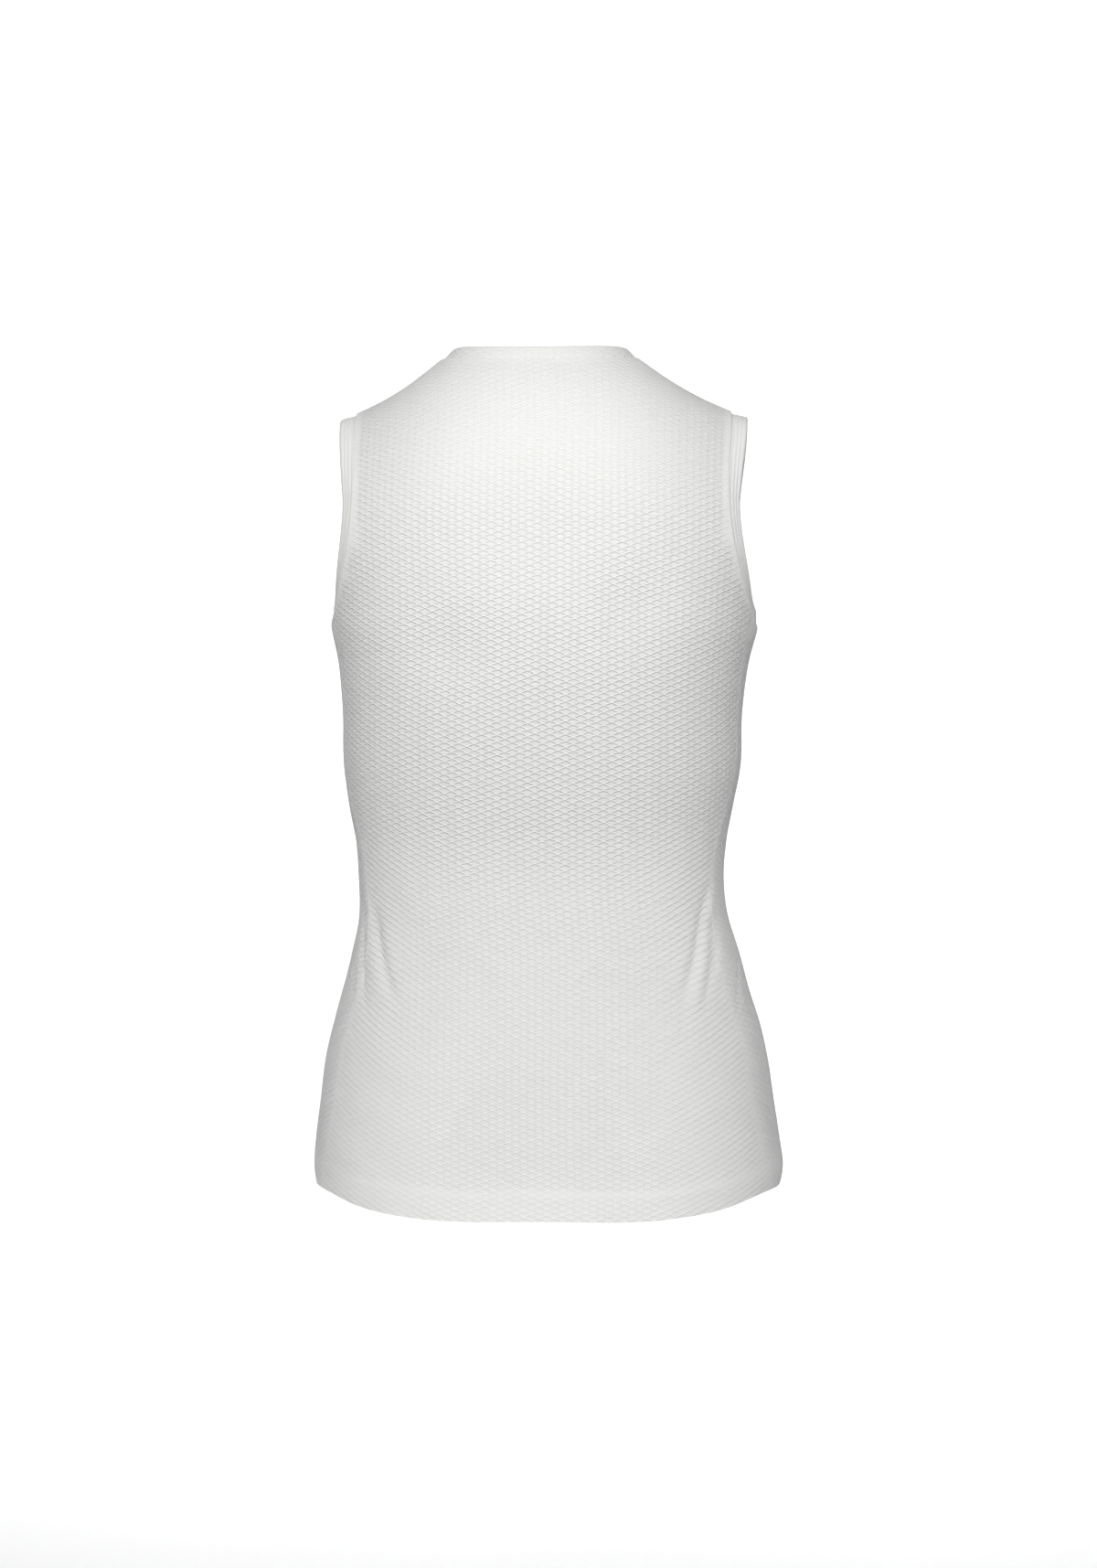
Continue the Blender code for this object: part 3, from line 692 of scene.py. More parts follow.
def block_faces(cells, columns, rows, flat):
    """The plain inside needs fewer faces. Every whole, nearly flat block of grid cells becomes one face,
    which also takes the points along a side where its neighbour stays fine."""
    across = columns // BLOCK + 1
    count = np.bincount(cells[cells >= 0], minlength=across * (rows // BLOCK))
    whole = (count == 2 * BLOCK * BLOCK).reshape(-1, across) & flat
    padded = np.pad(whole, 1)
    sides = (padded[:-2, 1:-1], padded[1:-1, 2:], padded[2:, 1:-1], padded[1:-1, :-2])
    steps = (1, columns, -1, -columns)
    polygons = []
    for pattern in range(16):
        coarse = [bool(pattern >> k & 1) for k in range(4)]
        chosen = whole.copy()
        for k in range(4):
            chosen &= sides[k] == coarse[k]
        j, i = np.nonzero(chosen)
        corner = j * BLOCK * columns + i * BLOCK
        offsets, at = [], 0
        for k in range(4):
            offsets += [at] if coarse[k] else [at + n * steps[k] for n in range(BLOCK)]
            at += BLOCK * steps[k]
        polygons += (corner[:, None] + np.array(offsets)).tolist()
    return whole.ravel(), polygons


def flat_area(places, faces):
    a, b, c = (places[faces[:, k], :2] for k in range(3))
    return float(np.abs(np.cross(b - a, c - a)).sum() / 2)


def hem_step(above):
    """Extra thickness of the turned-up hem, by height above the hem's edge: a double layer, and a groove
    where the stitching draws it in."""
    double = HEM_EXTRA * ease((HEM_TURN - HEM_END - above) / HEM_END_OVER)
    return double - GROOVE * bell(above - HEM_TURN - GROOVE_ABOVE, GROOVE_WIDTH)


def knit_shares(across, along, side, above, top):
    """How high the ribs are at each place as a share, which family of them the pull flattens from -1 to 1,
    and how clear of the bindings the place is. The ribs are lower beside bindings, seams and stitches, on the
    hem, and where the cloth is stretched over the hips. Between the shoulders they are lower and the knit
    paler,
    with less painted shadow: a painted highlight for the light washing the knit out."""
    armhole_near = np.where(along > UNDERARM - 0.010, side, 1.0)
    clear = rise(armhole_near, *ARMHOLE_CLEAR) * rise(top, *NECK_CLEAR)
    below_waist = ASLANT_BELOW - along
    share = from_least(AT_BINDING, clear) * from_least(AT_SEAM, rise(side, *SEAM_CLEAR))
    share *= from_least(AT_STITCHES, 1 - bell(above - HEM_TURN, STITCHES_REACH))
    share *= np.where(above < HEM_TURN, ON_HEM, 1.0)
    share *= 1 - HIP_CALM * ease(below_waist / CALM_FADE)
    # Painted highlight: between the shoulders the ribs are lower and the knit paler, as if the light washed
    # it out
    yoke = rise(along, YOKE_FROM, CALM_FADE) * ease((YOKE_HALF_WIDTH - np.abs(across)) / YOKE_SIDE_FADE)
    share *= 1 - YOKE_HIGHLIGHT_FADE * yoke
    lean = np.sign(across) * rise(np.abs(across), ASLANT_FROM, ASLANT_OVER)
    return share, lean * ease(below_waist / ASLANT_FADE), clear


def make_panel(name, node, front, knit):
    """A closed wall: the knit grid on the skin with its ribs raised, the same moved in with plain faces, and
    a rim."""
    stretch = FRONT_STRETCH if front else 1.0
    places, faces, cells, columns = knit_grid(front, knit.wale * stretch, knit.course * stretch)
    rows = int(cells.max() // (columns // BLOCK + 1) + 1) * BLOCK
    if front:
        faces = faces[:, ::-1]
    across, along = places[:, 0], places[:, 1]
    side, above, top = edge_values(across, along, front)
    base = on_skin(across, along, front)
    normals = vertex_normals(base, faces)
    share, lean, clear = knit_shares(across, along, side, above, top)
    raised = knit.rib_height * share * (diamond_relief(places[:, 2], places[:, 3], lean) - RIB_BELOW)
    pucker = PUCKER * (1 - clear) * np.sin(along * 2 * math.pi / PUCKER_PITCH)
    drawn_in = EDGE_DRAWN_IN * bell(np.minimum(side, top), EDGE_WIDTH)
    # Painted shadow: a dark line painted along the hem's stitching, kept as a share that the material reads
    painted_shade = HEM_SHADOW * bell(above - HEM_TURN - HEM_SHADOW_ABOVE, HEM_SHADOW_WIDTH)
    outer = base + normals * (raised + pucker - drawn_in + hem_step(above))[:, None]
    inner = base - normals * WALL
    whole, polygons = block_faces(cells, columns, rows, flat_blocks(base, columns, rows))
    fine = faces[(cells < 0) | ~whole[np.maximum(cells, 0)]]
    rim = rim_edges(faces)
    count = len(places)
    if not front:
        polygons = [polygon[::-1] for polygon in polygons]
    all_faces = faces.tolist()
    all_faces += (fine[:, ::-1] + count).tolist()
    all_faces += [[index + count for index in polygon] for polygon in polygons]
    all_faces += np.stack([rim[:, 1], rim[:, 0], rim[:, 0] + count, rim[:, 1] + count], 1).tolist()
    shares = {"knit": (share, 0.5 * share), "lean": (lean, lean), "painted_shade": (painted_shade, 0 * painted_shade)}
    made = new_piece(
        name,
        np.concatenate([outer, inner]),
        all_faces,
        uv=np.tile(places[:, 2:4], (2, 1)),
        **{key: np.concatenate(values) for key, values in shares.items()},
    )
    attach(made, "root")
    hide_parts(node)
    return made, flat_area(places, faces)


# ---------------------------------------------------------------- meshes


def new_piece(name, points, faces, uv=None, **shares):
    """A mesh object at the origin, smooth but for its rims, without unused points. A point may have a place
    in the UV map, and named shares that its material reads."""
    sizes = np.array([len(face) for face in faces])
    corners = np.fromiter((index for face in faces for index in face), dtype=np.int64, count=int(sizes.sum()))
    used, renumbered = np.unique(corners, return_inverse=True)
    mesh = bpy.data.meshes.new(name)
    mesh.vertices.add(len(used))
    mesh.vertices.foreach_set("co", np.asarray(points)[used].astype(np.float32).ravel())
    mesh.loops.add(len(corners))
    mesh.loops.foreach_set("vertex_index", renumbered.ravel().astype(np.int32))
    mesh.polygons.add(len(sizes))
    mesh.polygons.foreach_set("loop_start", (np.cumsum(sizes) - sizes).astype(np.int32))
    if uv is not None:
        layer = mesh.uv_layers.new(name="UVMap")
        layer.data.foreach_set("uv", np.asarray(uv)[corners].astype(np.float32).ravel())
    for key, values in shares.items():
        attribute = mesh.attributes.new(key, "FLOAT", "POINT")
        attribute.data.foreach_set("value", np.asarray(values)[used].astype(np.float32))
    mesh.update(calc_edges=True)
    mesh.validate()
    mesh.shade_smooth()
    mesh.set_sharp_from_angle(angle=math.radians(62))
    made = bpy.data.objects.new(name, mesh)
    bpy.context.scene.collection.objects.link(made)
    return made


def strip_faces(count, sides, closed, start=0):
    """Faces of a tube of so many rings, each of so many sides, closed on itself or with capped ends."""
    ring = np.arange(count if closed else count - 1)[:, None]
    side, after = np.arange(sides), (np.arange(sides) + 1) % sides
    here, there = ring * sides, (ring + 1) % count * sides
    corners = [here + side, here + after, there + after, there + side]
    faces = (np.stack(corners, axis=-1).reshape(-1, 4) + start).tolist()
    if not closed:
        faces.append((side[::-1] + start).tolist())
        faces.append((side + (count - 1) * sides + start).tolist())
    return faces


def sweep(path, aside, across, upward, up):
    """Rings of points along a path, each so far across along one set of directions and up along another."""
    return path[:, None] + aside[:, None] * across[None, :, None] + upward[:, None] * up[None, :, None]


def make_rings(name, line, rings, across, closed, repeat=(1.0, 1.0), **shares):
    """A piece from one ring of points at each place of a line, its faces turned out along the line's
    normals. Its UV map has the length and the place across, in repeats."""
    path, normals, _ = line
    uv = np.stack(np.broadcast_arrays(run_length(path)[:, None], across[None, :]), axis=-1).reshape(-1, 2)
    faces = strip_faces(len(path), len(across), closed)
    outward = np.cross(rings[0, 2] - rings[0, 1], rings[1, 2] - rings[0, 2])
    if (outward * normals[0]).sum() < 0:
        faces = [face[::-1] for face in faces]
    made = new_piece(name, rings.reshape(-1, 3), faces, uv=uv / repeat, **shares)
    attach(made, "root")
    return made


def make_tape(name, line, half, thick, closed=False):
    """A flat ribbon along a line, so far to each side of it: its back is a low crown, one less the fourth
    power of the place across."""
    path, normals, sideways = line
    back = np.linspace(-1, 1, 9)
    across = half * np.concatenate([back, [0.9, -0.9]])
    up = thick * np.concatenate([1 - back**4, [-1.0, -1.0]])
    return make_rings(name, line, sweep(path, sideways, across, normals, up), across, closed)


def make_thread(name, runs, radius, sides=5):
    """Sewing thread along runs of points, each with normals: a round section turned about the run's
    direction, with its ends drawn in. A run is closed if its last point is its first."""
    points, faces = [], []
    for path, normals in runs:
        closed = bool(np.allclose(path[0], path[-1], atol=1e-7))
        if closed:
            path, normals = path[:-1], normals[:-1]
        girth = np.ones(len(path))
        if not closed:
            girth[[0, -1]] = 0.45
        tangents = tangents_of(path, closed)
        sideways = unit(np.cross(tangents, normals))
        up = np.cross(tangents, sideways)
        turn = np.arange(sides) * 2 * math.pi / sides
        ring = np.cos(turn)[None, :, None] * sideways[:, None] + np.sin(turn)[None, :, None] * up[:, None]
        start = sum(len(part) for part in points)
        points.append((path[:, None] + radius * girth[:, None, None] * ring).reshape(-1, 3))
        faces += strip_faces(len(path), sides, closed, start)
    made = new_piece(name, np.concatenate(points), faces)
    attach(made, "root")
    return made


# ---------------------------------------------------------------- edges and bindings


def armhole_line(side, count=420):
    """The armhole edge of the panels on one side, as runs of flat places: down the back from the shoulder
    point to the side seam, then forward under the arm and up the front."""
    quarter = np.linspace(0, math.pi / 2, count // 2)
    back_height = SHOULDER_TIP + (SEAM_TOP - SHOULDER_TIP) * np.sin(quarter)
    back = to_cloth(side * armhole_around(back_height, False), back_height, False)
    under = np.linspace(SEAM_TOP, UNDERARM, 16)
    up = UNDERARM + (SHOULDER_TIP - UNDERARM) * (1 - np.cos(quarter))
    turn = np.concatenate([armhole_around(under, False)[:-1], armhole_around(up, True)])
    return back, to_cloth(side * turn, np.concatenate([under[:-1], up]), True)


def neck_edge(front, count=160):
    """The panel's neckline as flat places, from the wearer's right to left."""
    x = NECK_HALF_WIDTH * np.sin(np.linspace(-math.pi / 2, math.pi / 2, count))
    height = neck_line(x, front)
    return to_cloth(around_at(x, height, front), height, front)


def even(path, spacing, closed=False, extra=()):
    """The points of a path, and what goes with them, at an even spacing along it."""
    if closed:
        path = closed_line(path)
        extra = [closed_line(values) for values in extra]
    length = run_length(path)
    at = np.linspace(0, length[-1], max(4, int(round(length[-1] / spacing))) + 1)
    taken = [along_path(at, length, values) for values in (path, *extra)]
    return at, taken[0], taken[1:]


def closed_line(points):
    return np.concatenate([points, points[:1]])


def along_path(at, length, values):
    return np.stack([np.interp(at, length, values[:, k]) for k in range(values.shape[1])], axis=1)


def softened(values, times):
    """A closed run with each value moved halfway to its neighbours' mean, so many times."""
    for _ in range(times):
        values = (values + (np.roll(values, 1, axis=0) + np.roll(values, -1, axis=0)) / 2) / 2
    return values


def joint(runs, spacing=0.0012, times=12):
    """A closed joint between panels and a binding, from runs of flat places with their panel: even points on
    the skin, normals, and the direction in the skin towards the opening."""
    framed = [cloth_frame(across, along, front) for (across, along), front in runs]
    points = np.concatenate([at[:-1] for at, _ in framed])
    normals = np.concatenate([normal[:-1] for _, normal in framed])
    _, path, (normal,) = even(points, spacing, closed=True, extra=[normals])
    path, normal = softened(path[:-1], times), unit(softened(normal[:-1], times))
    into = unit(np.cross(tangents_of(path, True), normal))
    if ((path.mean(axis=0) - path) * into).sum() < 0:
        into = -into
    return path, normal, into


def armhole_joint(side):
    back, ahead = armhole_line(side)
    return joint([(back, False), (ahead, True)])


def neck_joint():
    across, along = neck_edge(True)
    return joint([(neck_edge(False), False), ((across[::-1], along[::-1]), True)])


def make_binding(name, node, edge, width, angle, ribs, rib_height, fold, repeat=(1.0, 1.0)):
    """A flat binding round an opening. Its section starts a seam's gap from the panels' edge, leans in by an
    angle in degrees, and comes back on the inside. Outside it has lengthwise ribs, each a half sine wave,
    and its free edge is a round fold."""
    path, normals, into = edge
    angle = np.broadcast_to(np.radians(angle), len(path))[:, None]
    lean = unit(into * np.cos(angle) - normals * np.sin(angle))
    start = path + into * SEAM_GAP - normals * BINDING_SINK
    out = np.linspace(0, 1, (ribs * STEPS_PER_RIB if ribs else PLAIN_STEPS) + 1)
    lift = rib_height * np.abs(np.sin(math.pi * ribs * out)) + fold * np.sin(math.pi * out) ** 0.6
    turn = np.linspace(0, math.pi, 7)[1:-1]
    half = BINDING_WALL / 2
    across = np.concatenate([out * width, width + half * np.sin(turn) * 0.8, out[::-4] * width])
    up = np.concatenate([lift, -half * (1 - np.cos(turn)), -BINDING_WALL + 0 * out[::-4]])
    rings = sweep(start, lean, across, normals, up)
    # Painted shadow, darkest at the binding's foot and along its folded free edge
    shade_at_foot, top = bell(across, SHADOW_WIDTH), bell(across - width - half / 2, SHADOW_WIDTH)
    painted_shade = BINDING_SHADOW * np.tile(shade_at_foot + top, len(path))
    shares = {"knit": np.full(len(painted_shade), BINDING_KNIT), "painted_shade": painted_shade}
    made = make_rings(name, edge, rings, across, True, repeat, **shares)
    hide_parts(node)
    return made


# ---------------------------------------------------------------- sewing


def beside(edge, inset, lift):
    """A line beside a joint, so far back into the panels and so far above them."""
    path, normals, into = edge
    return path - into * inset + normals * lift


def zigzag(edge, near, far, pitch, lift):
    """Thread that goes back and forth between two lines beside a joint: a triangle wave, higher as it
    crosses."""
    path, normals, into = edge
    at, line, (up, side) = even(path, pitch / 4, closed=True, extra=[normals, into])
    phase = np.round(at / at[-1] * round(at[-1] / pitch) * 4).astype(int)
    wave = WAVE[phase % 4]
    middle, half = (near + far) / 2, (far - near) / 2
    height = lift + COVER_RISE * (1 - np.abs(wave))
    points = line - side * (middle + half * wave)[:, None] + up * height[:, None]
    points[-1] = points[0]
    return points, up


def stitch_runs(path, normals, pitch, length, sag):
    """Short stitches along a line: each run of thread dips into the cloth at both of its ends."""
    at, _, _ = even(path, pitch)
    total = run_length(path)
    share = np.linspace(-0.5, 0.5, 5)
    dip = sag * (np.abs(share) * 2) ** 3
    runs = []
    for middle in at[:-1] + pitch / 2:
        where = middle + share * length
        up = along_path(where, total, normals)
        runs.append((along_path(where, total, path) - up * dip[:, None], unit(up)))
    return runs


def rows_of_stitches(edge, insets, lift, stitch):
    """Stitches in rows beside a joint, one row for each inset."""
    up = closed_line(edge[1])
    rows = [stitch_runs(closed_line(beside(edge, inset, lift)), up, *stitch) for inset in insets]
    return sum(rows, [])


def hem_line_on_cloth(lift, above):
    """A line round the hem, so far above its edge: places, and normals, all round."""
    around = np.linspace(-math.pi, math.pi, 1201)
    points, normals, _ = skin_frame(around, hem_height(around) + above)
    return points + normals * lift, normals


def side_seam_line(side, lift):
    """The side seam from the hem's edge to the armhole."""
    height = np.linspace(-0.5835, SEAM_TOP - 0.0006, 500)
    points, normals, sideways = skin_frame(side * seam_around(height), height)
    return points + normals * lift, normals, sideways


def shoulder_seam_line(side, lift):
    """The shoulder seam from the neck binding to the armhole binding, and normals, square to its slope."""
    x = side * np.linspace(NECK_HALF_WIDTH + 0.0008, SHOULDER_POINT - 0.0006, 120)
    height = shoulder_line(x)
    points = np.stack([x + read(SECTIONS, 4, height), 0 * x, height], axis=1)
    normals = unit(np.stack([side * SHOULDER_SLOPE + 0 * x, 0 * x, 1 + 0 * x], axis=1))
    return points + normals * lift, normals, np.tile([0.0, 1.0, 0.0], (len(x), 1))


SEAM_LINES = {"side": side_seam_line, "shoulder": shoulder_seam_line}


def seam_zigzag(line, half, pitch, bump):
    """Flat seam thread that crosses a seam back and forth along an open line."""
    points, normals, sideways = line
    at, path, (up, side) = even(points, pitch / 4, extra=[normals, sideways])
    wave = WAVE[np.arange(len(at)) % 4]
    return path + side * (half * wave)[:, None] + up * (bump * (1 - np.abs(wave)))[:, None], up


# ---------------------------------------------------------------- materials


class Shade:
    """A socket of a material, so that its maths reads as plain expressions."""

    def __init__(self, recipe, socket):
        self.recipe, self.socket = recipe, socket

    def maths(self, operation, *others):
        return self.recipe.node("ShaderNodeMath", {"operation": operation}, (self, *others))

    def __add__(self, other):
        return self.maths("ADD", other)

    def __mul__(self, other):
        return self.maths("MULTIPLY", other)

    def __sub__(self, other):
        return self.maths("SUBTRACT", other)

    def __truediv__(self, other):
        return self.maths("DIVIDE", other)

    def __rsub__(self, other):
        return self.recipe.node("ShaderNodeMath", {"operation": "SUBTRACT"}, (other, self))

    __radd__ = __add__
    __rmul__ = __mul__


class Recipe:
    """A material with its Principled shader, and one way to add any other node."""

    def __init__(self, name, roughness):
        self.material = bpy.data.materials.new(name)
        self.material.use_nodes = True
        self.tree = self.material.node_tree
        self.shader = self.tree.nodes["Principled BSDF"]
        self.shader.inputs["Roughness"].default_value = roughness

    def plug(self, value, socket):
        if isinstance(value, Shade):
            self.tree.links.new(value.socket, socket)
        elif value is not None:
            socket.default_value = value

    def node(self, kind, settings=None, inputs=(), output=0):
        """A node with its settings made first and then its sockets, given in order or by name."""
        made = self.tree.nodes.new(kind)
        for key, value in (settings or {}).items():
            setattr(made, key, value)
        pairs = inputs.items() if isinstance(inputs, dict) else enumerate(inputs)
        for key, value in pairs:
            self.plug(value, made.inputs[key])
        return Shade(self, made.outputs[output])

    def blend(self, share, low, high):
        """A colour from low to high by a share."""
        made = self.tree.nodes.new("ShaderNodeMix")
        made.data_type = "RGBA"
        colours = [socket for socket in made.inputs if socket.type == "RGBA"]
        self.plug(share, made.inputs[0])
        self.plug(low, colours[0])
        self.plug(high, colours[1])
        return Shade(self, [socket for socket in made.outputs if socket.type == "RGBA"][0])

    def set(self, **values):
        for key, value in values.items():
            self.plug(value, self.shader.inputs[key.replace("_", " ")])

    def bump(self, height, distance, strength=1.0):
        made = self.node("ShaderNodeBump", {}, {"Strength": strength, "Distance": distance, "Height": height})
        self.set(Normal=made)


def sheen(recipe, weight, roughness):
    recipe.shader.inputs["Sheen Weight"].default_value = weight
    recipe.shader.inputs["Sheen Roughness"].default_value = roughness


def rgba(colour, share=1.0):
    return (*(part * share for part in colour), 1.0)


def ridge(value, half_width):
    """A ridge along each line where a value is whole: 1 on the line, 0 from so far on either side."""
    off = ((value + 0.5).maths("FRACT") - 0.5).maths("ABSOLUTE")
    up = (1 - off / half_width).maths("MAXIMUM", 0.0)
    return up * up * (3 - up * 2)


def lattice(wale, course, half_width, falling=1.0, rising=1.0):
    """Both families of the knit's ribs, added up and cut off at 1, so that the corners between them fill."""
    both = ridge(wale + course, half_width) * falling + ridge(wale - course, half_width) * rising
    return both.maths("MINIMUM", 1.0)


def place_on(recipe):
    """The two coordinates of the piece's own UV map."""
    place = recipe.node("ShaderNodeUVMap", {"uv_map": "UVMap"})
    split = recipe.node("ShaderNodeSeparateXYZ", {}, (place,))
    return split, Shade(recipe, split.socket.node.outputs[1])


def share_of(recipe, name):
    return recipe.node("ShaderNodeAttribute", {"attribute_name": name}, (), output=2)


def noise(recipe, scale, detail):
    spots = recipe.node("ShaderNodeTexCoord", {}, (), output=3)
    return recipe.node("ShaderNodeTexNoise", {}, {"Vector": spots, "Scale": scale, "Detail": detail})


# Half widths of a rib and of the painted shadow under it as shares of a diamond, and the small stitches in
# one
RIB_HALF, SHADE_HALF, COLUMNS, ROWS = 0.18, 0.25, 9, 5
# Pitches of the rib tape's rows and loops, and width of a crossing of the cover stitching
TAPE_ROW, TAPE_LOOP, COVER_WIDTH = 0.0011, 0.0013, 0.0050


def knit_material(knit):
    """Raised diamond knit. Its ribs are lines of the piece's own wale and course, over thinner cells with a
    fine net of small stitches. A painted shadow darkens the cells under each rib, and a painted shadow share
    darkens the hem's stitching line and a binding's foot and edge."""
    recipe = Recipe("diamond_knit", 0.86)
    wale, course = place_on(recipe)
    share, painted_shade, lean = (share_of(recipe, name) for name in ("knit", "painted_shade", "lean"))
    falling = 1 - lean.maths("MAXIMUM", 0.0) * FLATTENED
    rising = 1 - (lean * -1).maths("MAXIMUM", 0.0) * FLATTENED
    rib = lattice(wale, course, RIB_HALF, falling, rising)
    # Painted shadow: the cells just under each rib are darkened towards the shadow colour
    under = (lattice(wale, course + RIB_HALF, SHADE_HALF, falling, rising) - rib).maths("MAXIMUM", 0.0)
    stitch = (wale * (2 * math.pi * COLUMNS)).maths("SINE").maths("ABSOLUTE")
    turned = (wale * COLUMNS).maths("FLOOR") * math.pi
    net = stitch * ((course * (2 * math.pi * ROWS) + turned).maths("SINE") * 0.5 + 0.5)
    fuzz, broad = noise(recipe, 900.0, 3.0), noise(recipe, 120.0, 2.0)
    shown = share * 0.9 + 0.1
    recipe.bump(rib * shown + net * 0.10 + fuzz * 0.18 + broad * 0.08, 0.0009, 1.0)
    thin = recipe.blend(under * shown, rgba(knit.cell_colour), rgba(knit.shadow_colour))
    pale = rib * shown + (1 - shown) * 0.65 - fuzz * 0.10
    cloth = recipe.blend(pale, thin, rgba(knit.rib_colour))
    # Painted shadow along the hem's stitching and at a binding's foot and edge
    recipe.set(Base_Color=recipe.blend(painted_shade, cloth, rgba(knit.shadow_colour)))
    sheen(recipe, 0.12, 0.5)
    return recipe.material


def rib_material(colour):
    """Narrow rib tape: small stitches in rows along it, with painted shadow at its foot and along its free
    edge.
    """
    recipe = Recipe("rib_tape", 0.84)
    along, over = place_on(recipe)
    rows = (over * (2 * math.pi / TAPE_ROW)).maths("SINE")
    loops = (along * (2 * math.pi / TAPE_LOOP) + rows * 1.2).maths("SINE")
    fuzz = noise(recipe, 1100.0, 3.0)
    recipe.bump(rows * 0.3 + loops * 0.25 + fuzz * 0.4, 0.00022, 0.7)
    cloth = recipe.blend(loops * 0.15 + fuzz * 0.4, rgba(colour), rgba(colour, 0.92))
    # Painted shadow: the tape's colour halved at its foot and along its folded edge
    recipe.set(Base_Color=recipe.blend(share_of(recipe, "painted_shade"), cloth, rgba(colour, 0.5)))
    sheen(recipe, 0.12, 0.5)
    return recipe.material


def thread_material(colour):
    """Sewing thread: a fine twist."""
    recipe = Recipe("sewing_thread", 0.62)
    spots = recipe.node("ShaderNodeTexCoord", {}, (), output=3)
    waves = {"Vector": spots, "Scale": 900.0, "Distortion": 2.0}
    twist = recipe.node("ShaderNodeTexWave", {"wave_type": "BANDS"}, waves)
    recipe.bump(twist, 0.00005, 0.5)
    recipe.set(Base_Color=recipe.blend(twist * 0.5, rgba(colour), rgba(colour, 0.95)))
    return recipe.material


def seam_shade_material(colour):
    """Painted shadow for the groove of a seam and the joint beside a binding: a dark, slightly mottled colour
    on a strip laid in them.
    """
    recipe = Recipe("seam_painted_shade", 0.9)
    fuzz = noise(recipe, 700.0, 3.0)
    recipe.bump(fuzz, 0.0002, 0.8)
    recipe.set(Base_Color=recipe.blend(fuzz, rgba(colour), rgba(colour, 0.8)))
    return recipe.material


def cover_material(thread, gap):
    """Cover stitching: soft threads that cross back and forth over a flat seam, with painted shadow in the
    gaps between them."""
    recipe = Recipe("cover_stitch", 0.8)
    along, over = place_on(recipe)
    threads = lattice(along / COVER_PITCH, over / COVER_WIDTH, 0.30)
    fuzz = noise(recipe, 1100.0, 3.0)
    recipe.bump(threads + fuzz * 0.4, 0.0004, 1.0)
    # Painted shadow in the gaps between the threads
    recipe.set(Base_Color=recipe.blend(threads - fuzz * 0.15, rgba(gap), rgba(thread)))
    return recipe.material


def paper_material(name, colour):
    recipe = Recipe(name, 0.9)
    recipe.set(Base_Color=rgba(colour))
    return recipe.material


def give(made, material):
    made.data.materials.clear()
    made.data.materials.append(material)


# ---------------------------------------------------------------- add-on


def length_property(name, default, description):
    return bpy.props.FloatProperty(name=name, default=default, description=description, unit="LENGTH")


def colour_property(name, default, description):
    return bpy.props.FloatVectorProperty(
        name=name, default=default, description=description, subtype="COLOR"
    )


class VestKnit(bpy.types.PropertyGroup):
    wale: length_property("Diamond width", 0.0105, "Width of one diamond of the knit")
    course: length_property("Diamond height", 0.0045, "Height of one diamond of the knit")
    rib_height: length_property("Rib height", 0.00034, "How far the ribs stand above the cells")
    rib_colour: colour_property("Rib colour", (0.99, 0.99, 0.975), "Colour of the raised ribs")
    cell_colour: colour_property("Cell colour", (0.82, 0.82, 0.81), "Colour of the thin cells")
    # Painted shadow colour: of the cells under each rib, the hem's stitching line and a binding's foot and
    # edge
    shadow_colour: colour_property("Hollow colour", (0.60, 0.605, 0.60), "Colour of the cells under a rib")
    tape_colour: colour_property("Tape colour", (0.90, 0.90, 0.89), "Colour of the armhole ribs")
    # Painted shadow colour: of the seams' grooves, the armhole joints and the gaps in the cover stitching
    seam_shade_colour: colour_property("Seam colour", (0.56, 0.56, 0.555), "Colour of the cloth in a seam")
    thread_colour: colour_property("Thread colour", (0.88, 0.88, 0.87), "Colour of the sewing")


class VestStage(bpy.types.PropertyGroup):
    distance: length_property("Distance", 2.6, "From the camera to the vest's axis")
    turn: bpy.props.FloatProperty(
        name="Turn", description="The camera's turn to the right", default=math.radians(3), subtype="ANGLE"
    )
    eye_height: length_property("Eye height", -0.3006, "Height of the level camera")
    room_light: bpy.props.FloatProperty(name="Room light", description="Light all round", default=0.25)


SIDES = (("left", 1), ("right", -1))


class VEST_OT_panels(bpy.types.Operator):
    """Make the back and front panels in raised diamond knit"""

    bl_idname = "vest.panels"
    bl_label = "Panels"

    def execute(self, context):
        knit = context.scene.vest_knit
        cloth = knit_material(knit)
        for name, node, front, width, length in (
            ("back_cloth", "back_panel", False, 0.330, 0.640),
            ("front_cloth", "front_panel", True, 0.580, 0.640),
        ):
            made, area = make_panel(name, node, front, knit)
            give(made, cloth)
        return {"FINISHED"}


class VEST_OT_bindings(bpy.types.Operator):
    """Make the ribs round the armholes and the band round the neck"""

    bl_idname = "vest.bindings"
    bl_label = "Bindings"

    def execute(self, context):
        knit = context.scene.vest_knit
        tape = rib_material(knit.tape_colour)
        for name, side in SIDES:
            edge = armhole_joint(side)
            made = make_binding(
                "armhole_rib_" + name,
                "armhole_binding_" + name,
                edge,
                ARMHOLE_BINDING,
                angle=np.interp(edge[0][:, 2], SHOULDER_BEND, (ARMHOLE_LEAN, SHOULDER_LEAN)),
                ribs=4,
                rib_height=0.00028,
                fold=0.0002,
            )
            give(made, tape)
        band = make_binding(
            "neck_band",
            "neck_binding",
            neck_joint(),
            NECK_BINDING,
            angle=NECK_LEAN,
            ribs=0,
            rib_height=0.0,
            fold=0.0003,
            repeat=(knit.wale, knit.course),
        )
        give(band, bpy.data.materials.get("diamond_knit") or knit_material(knit))
        return {"FINISHED"}


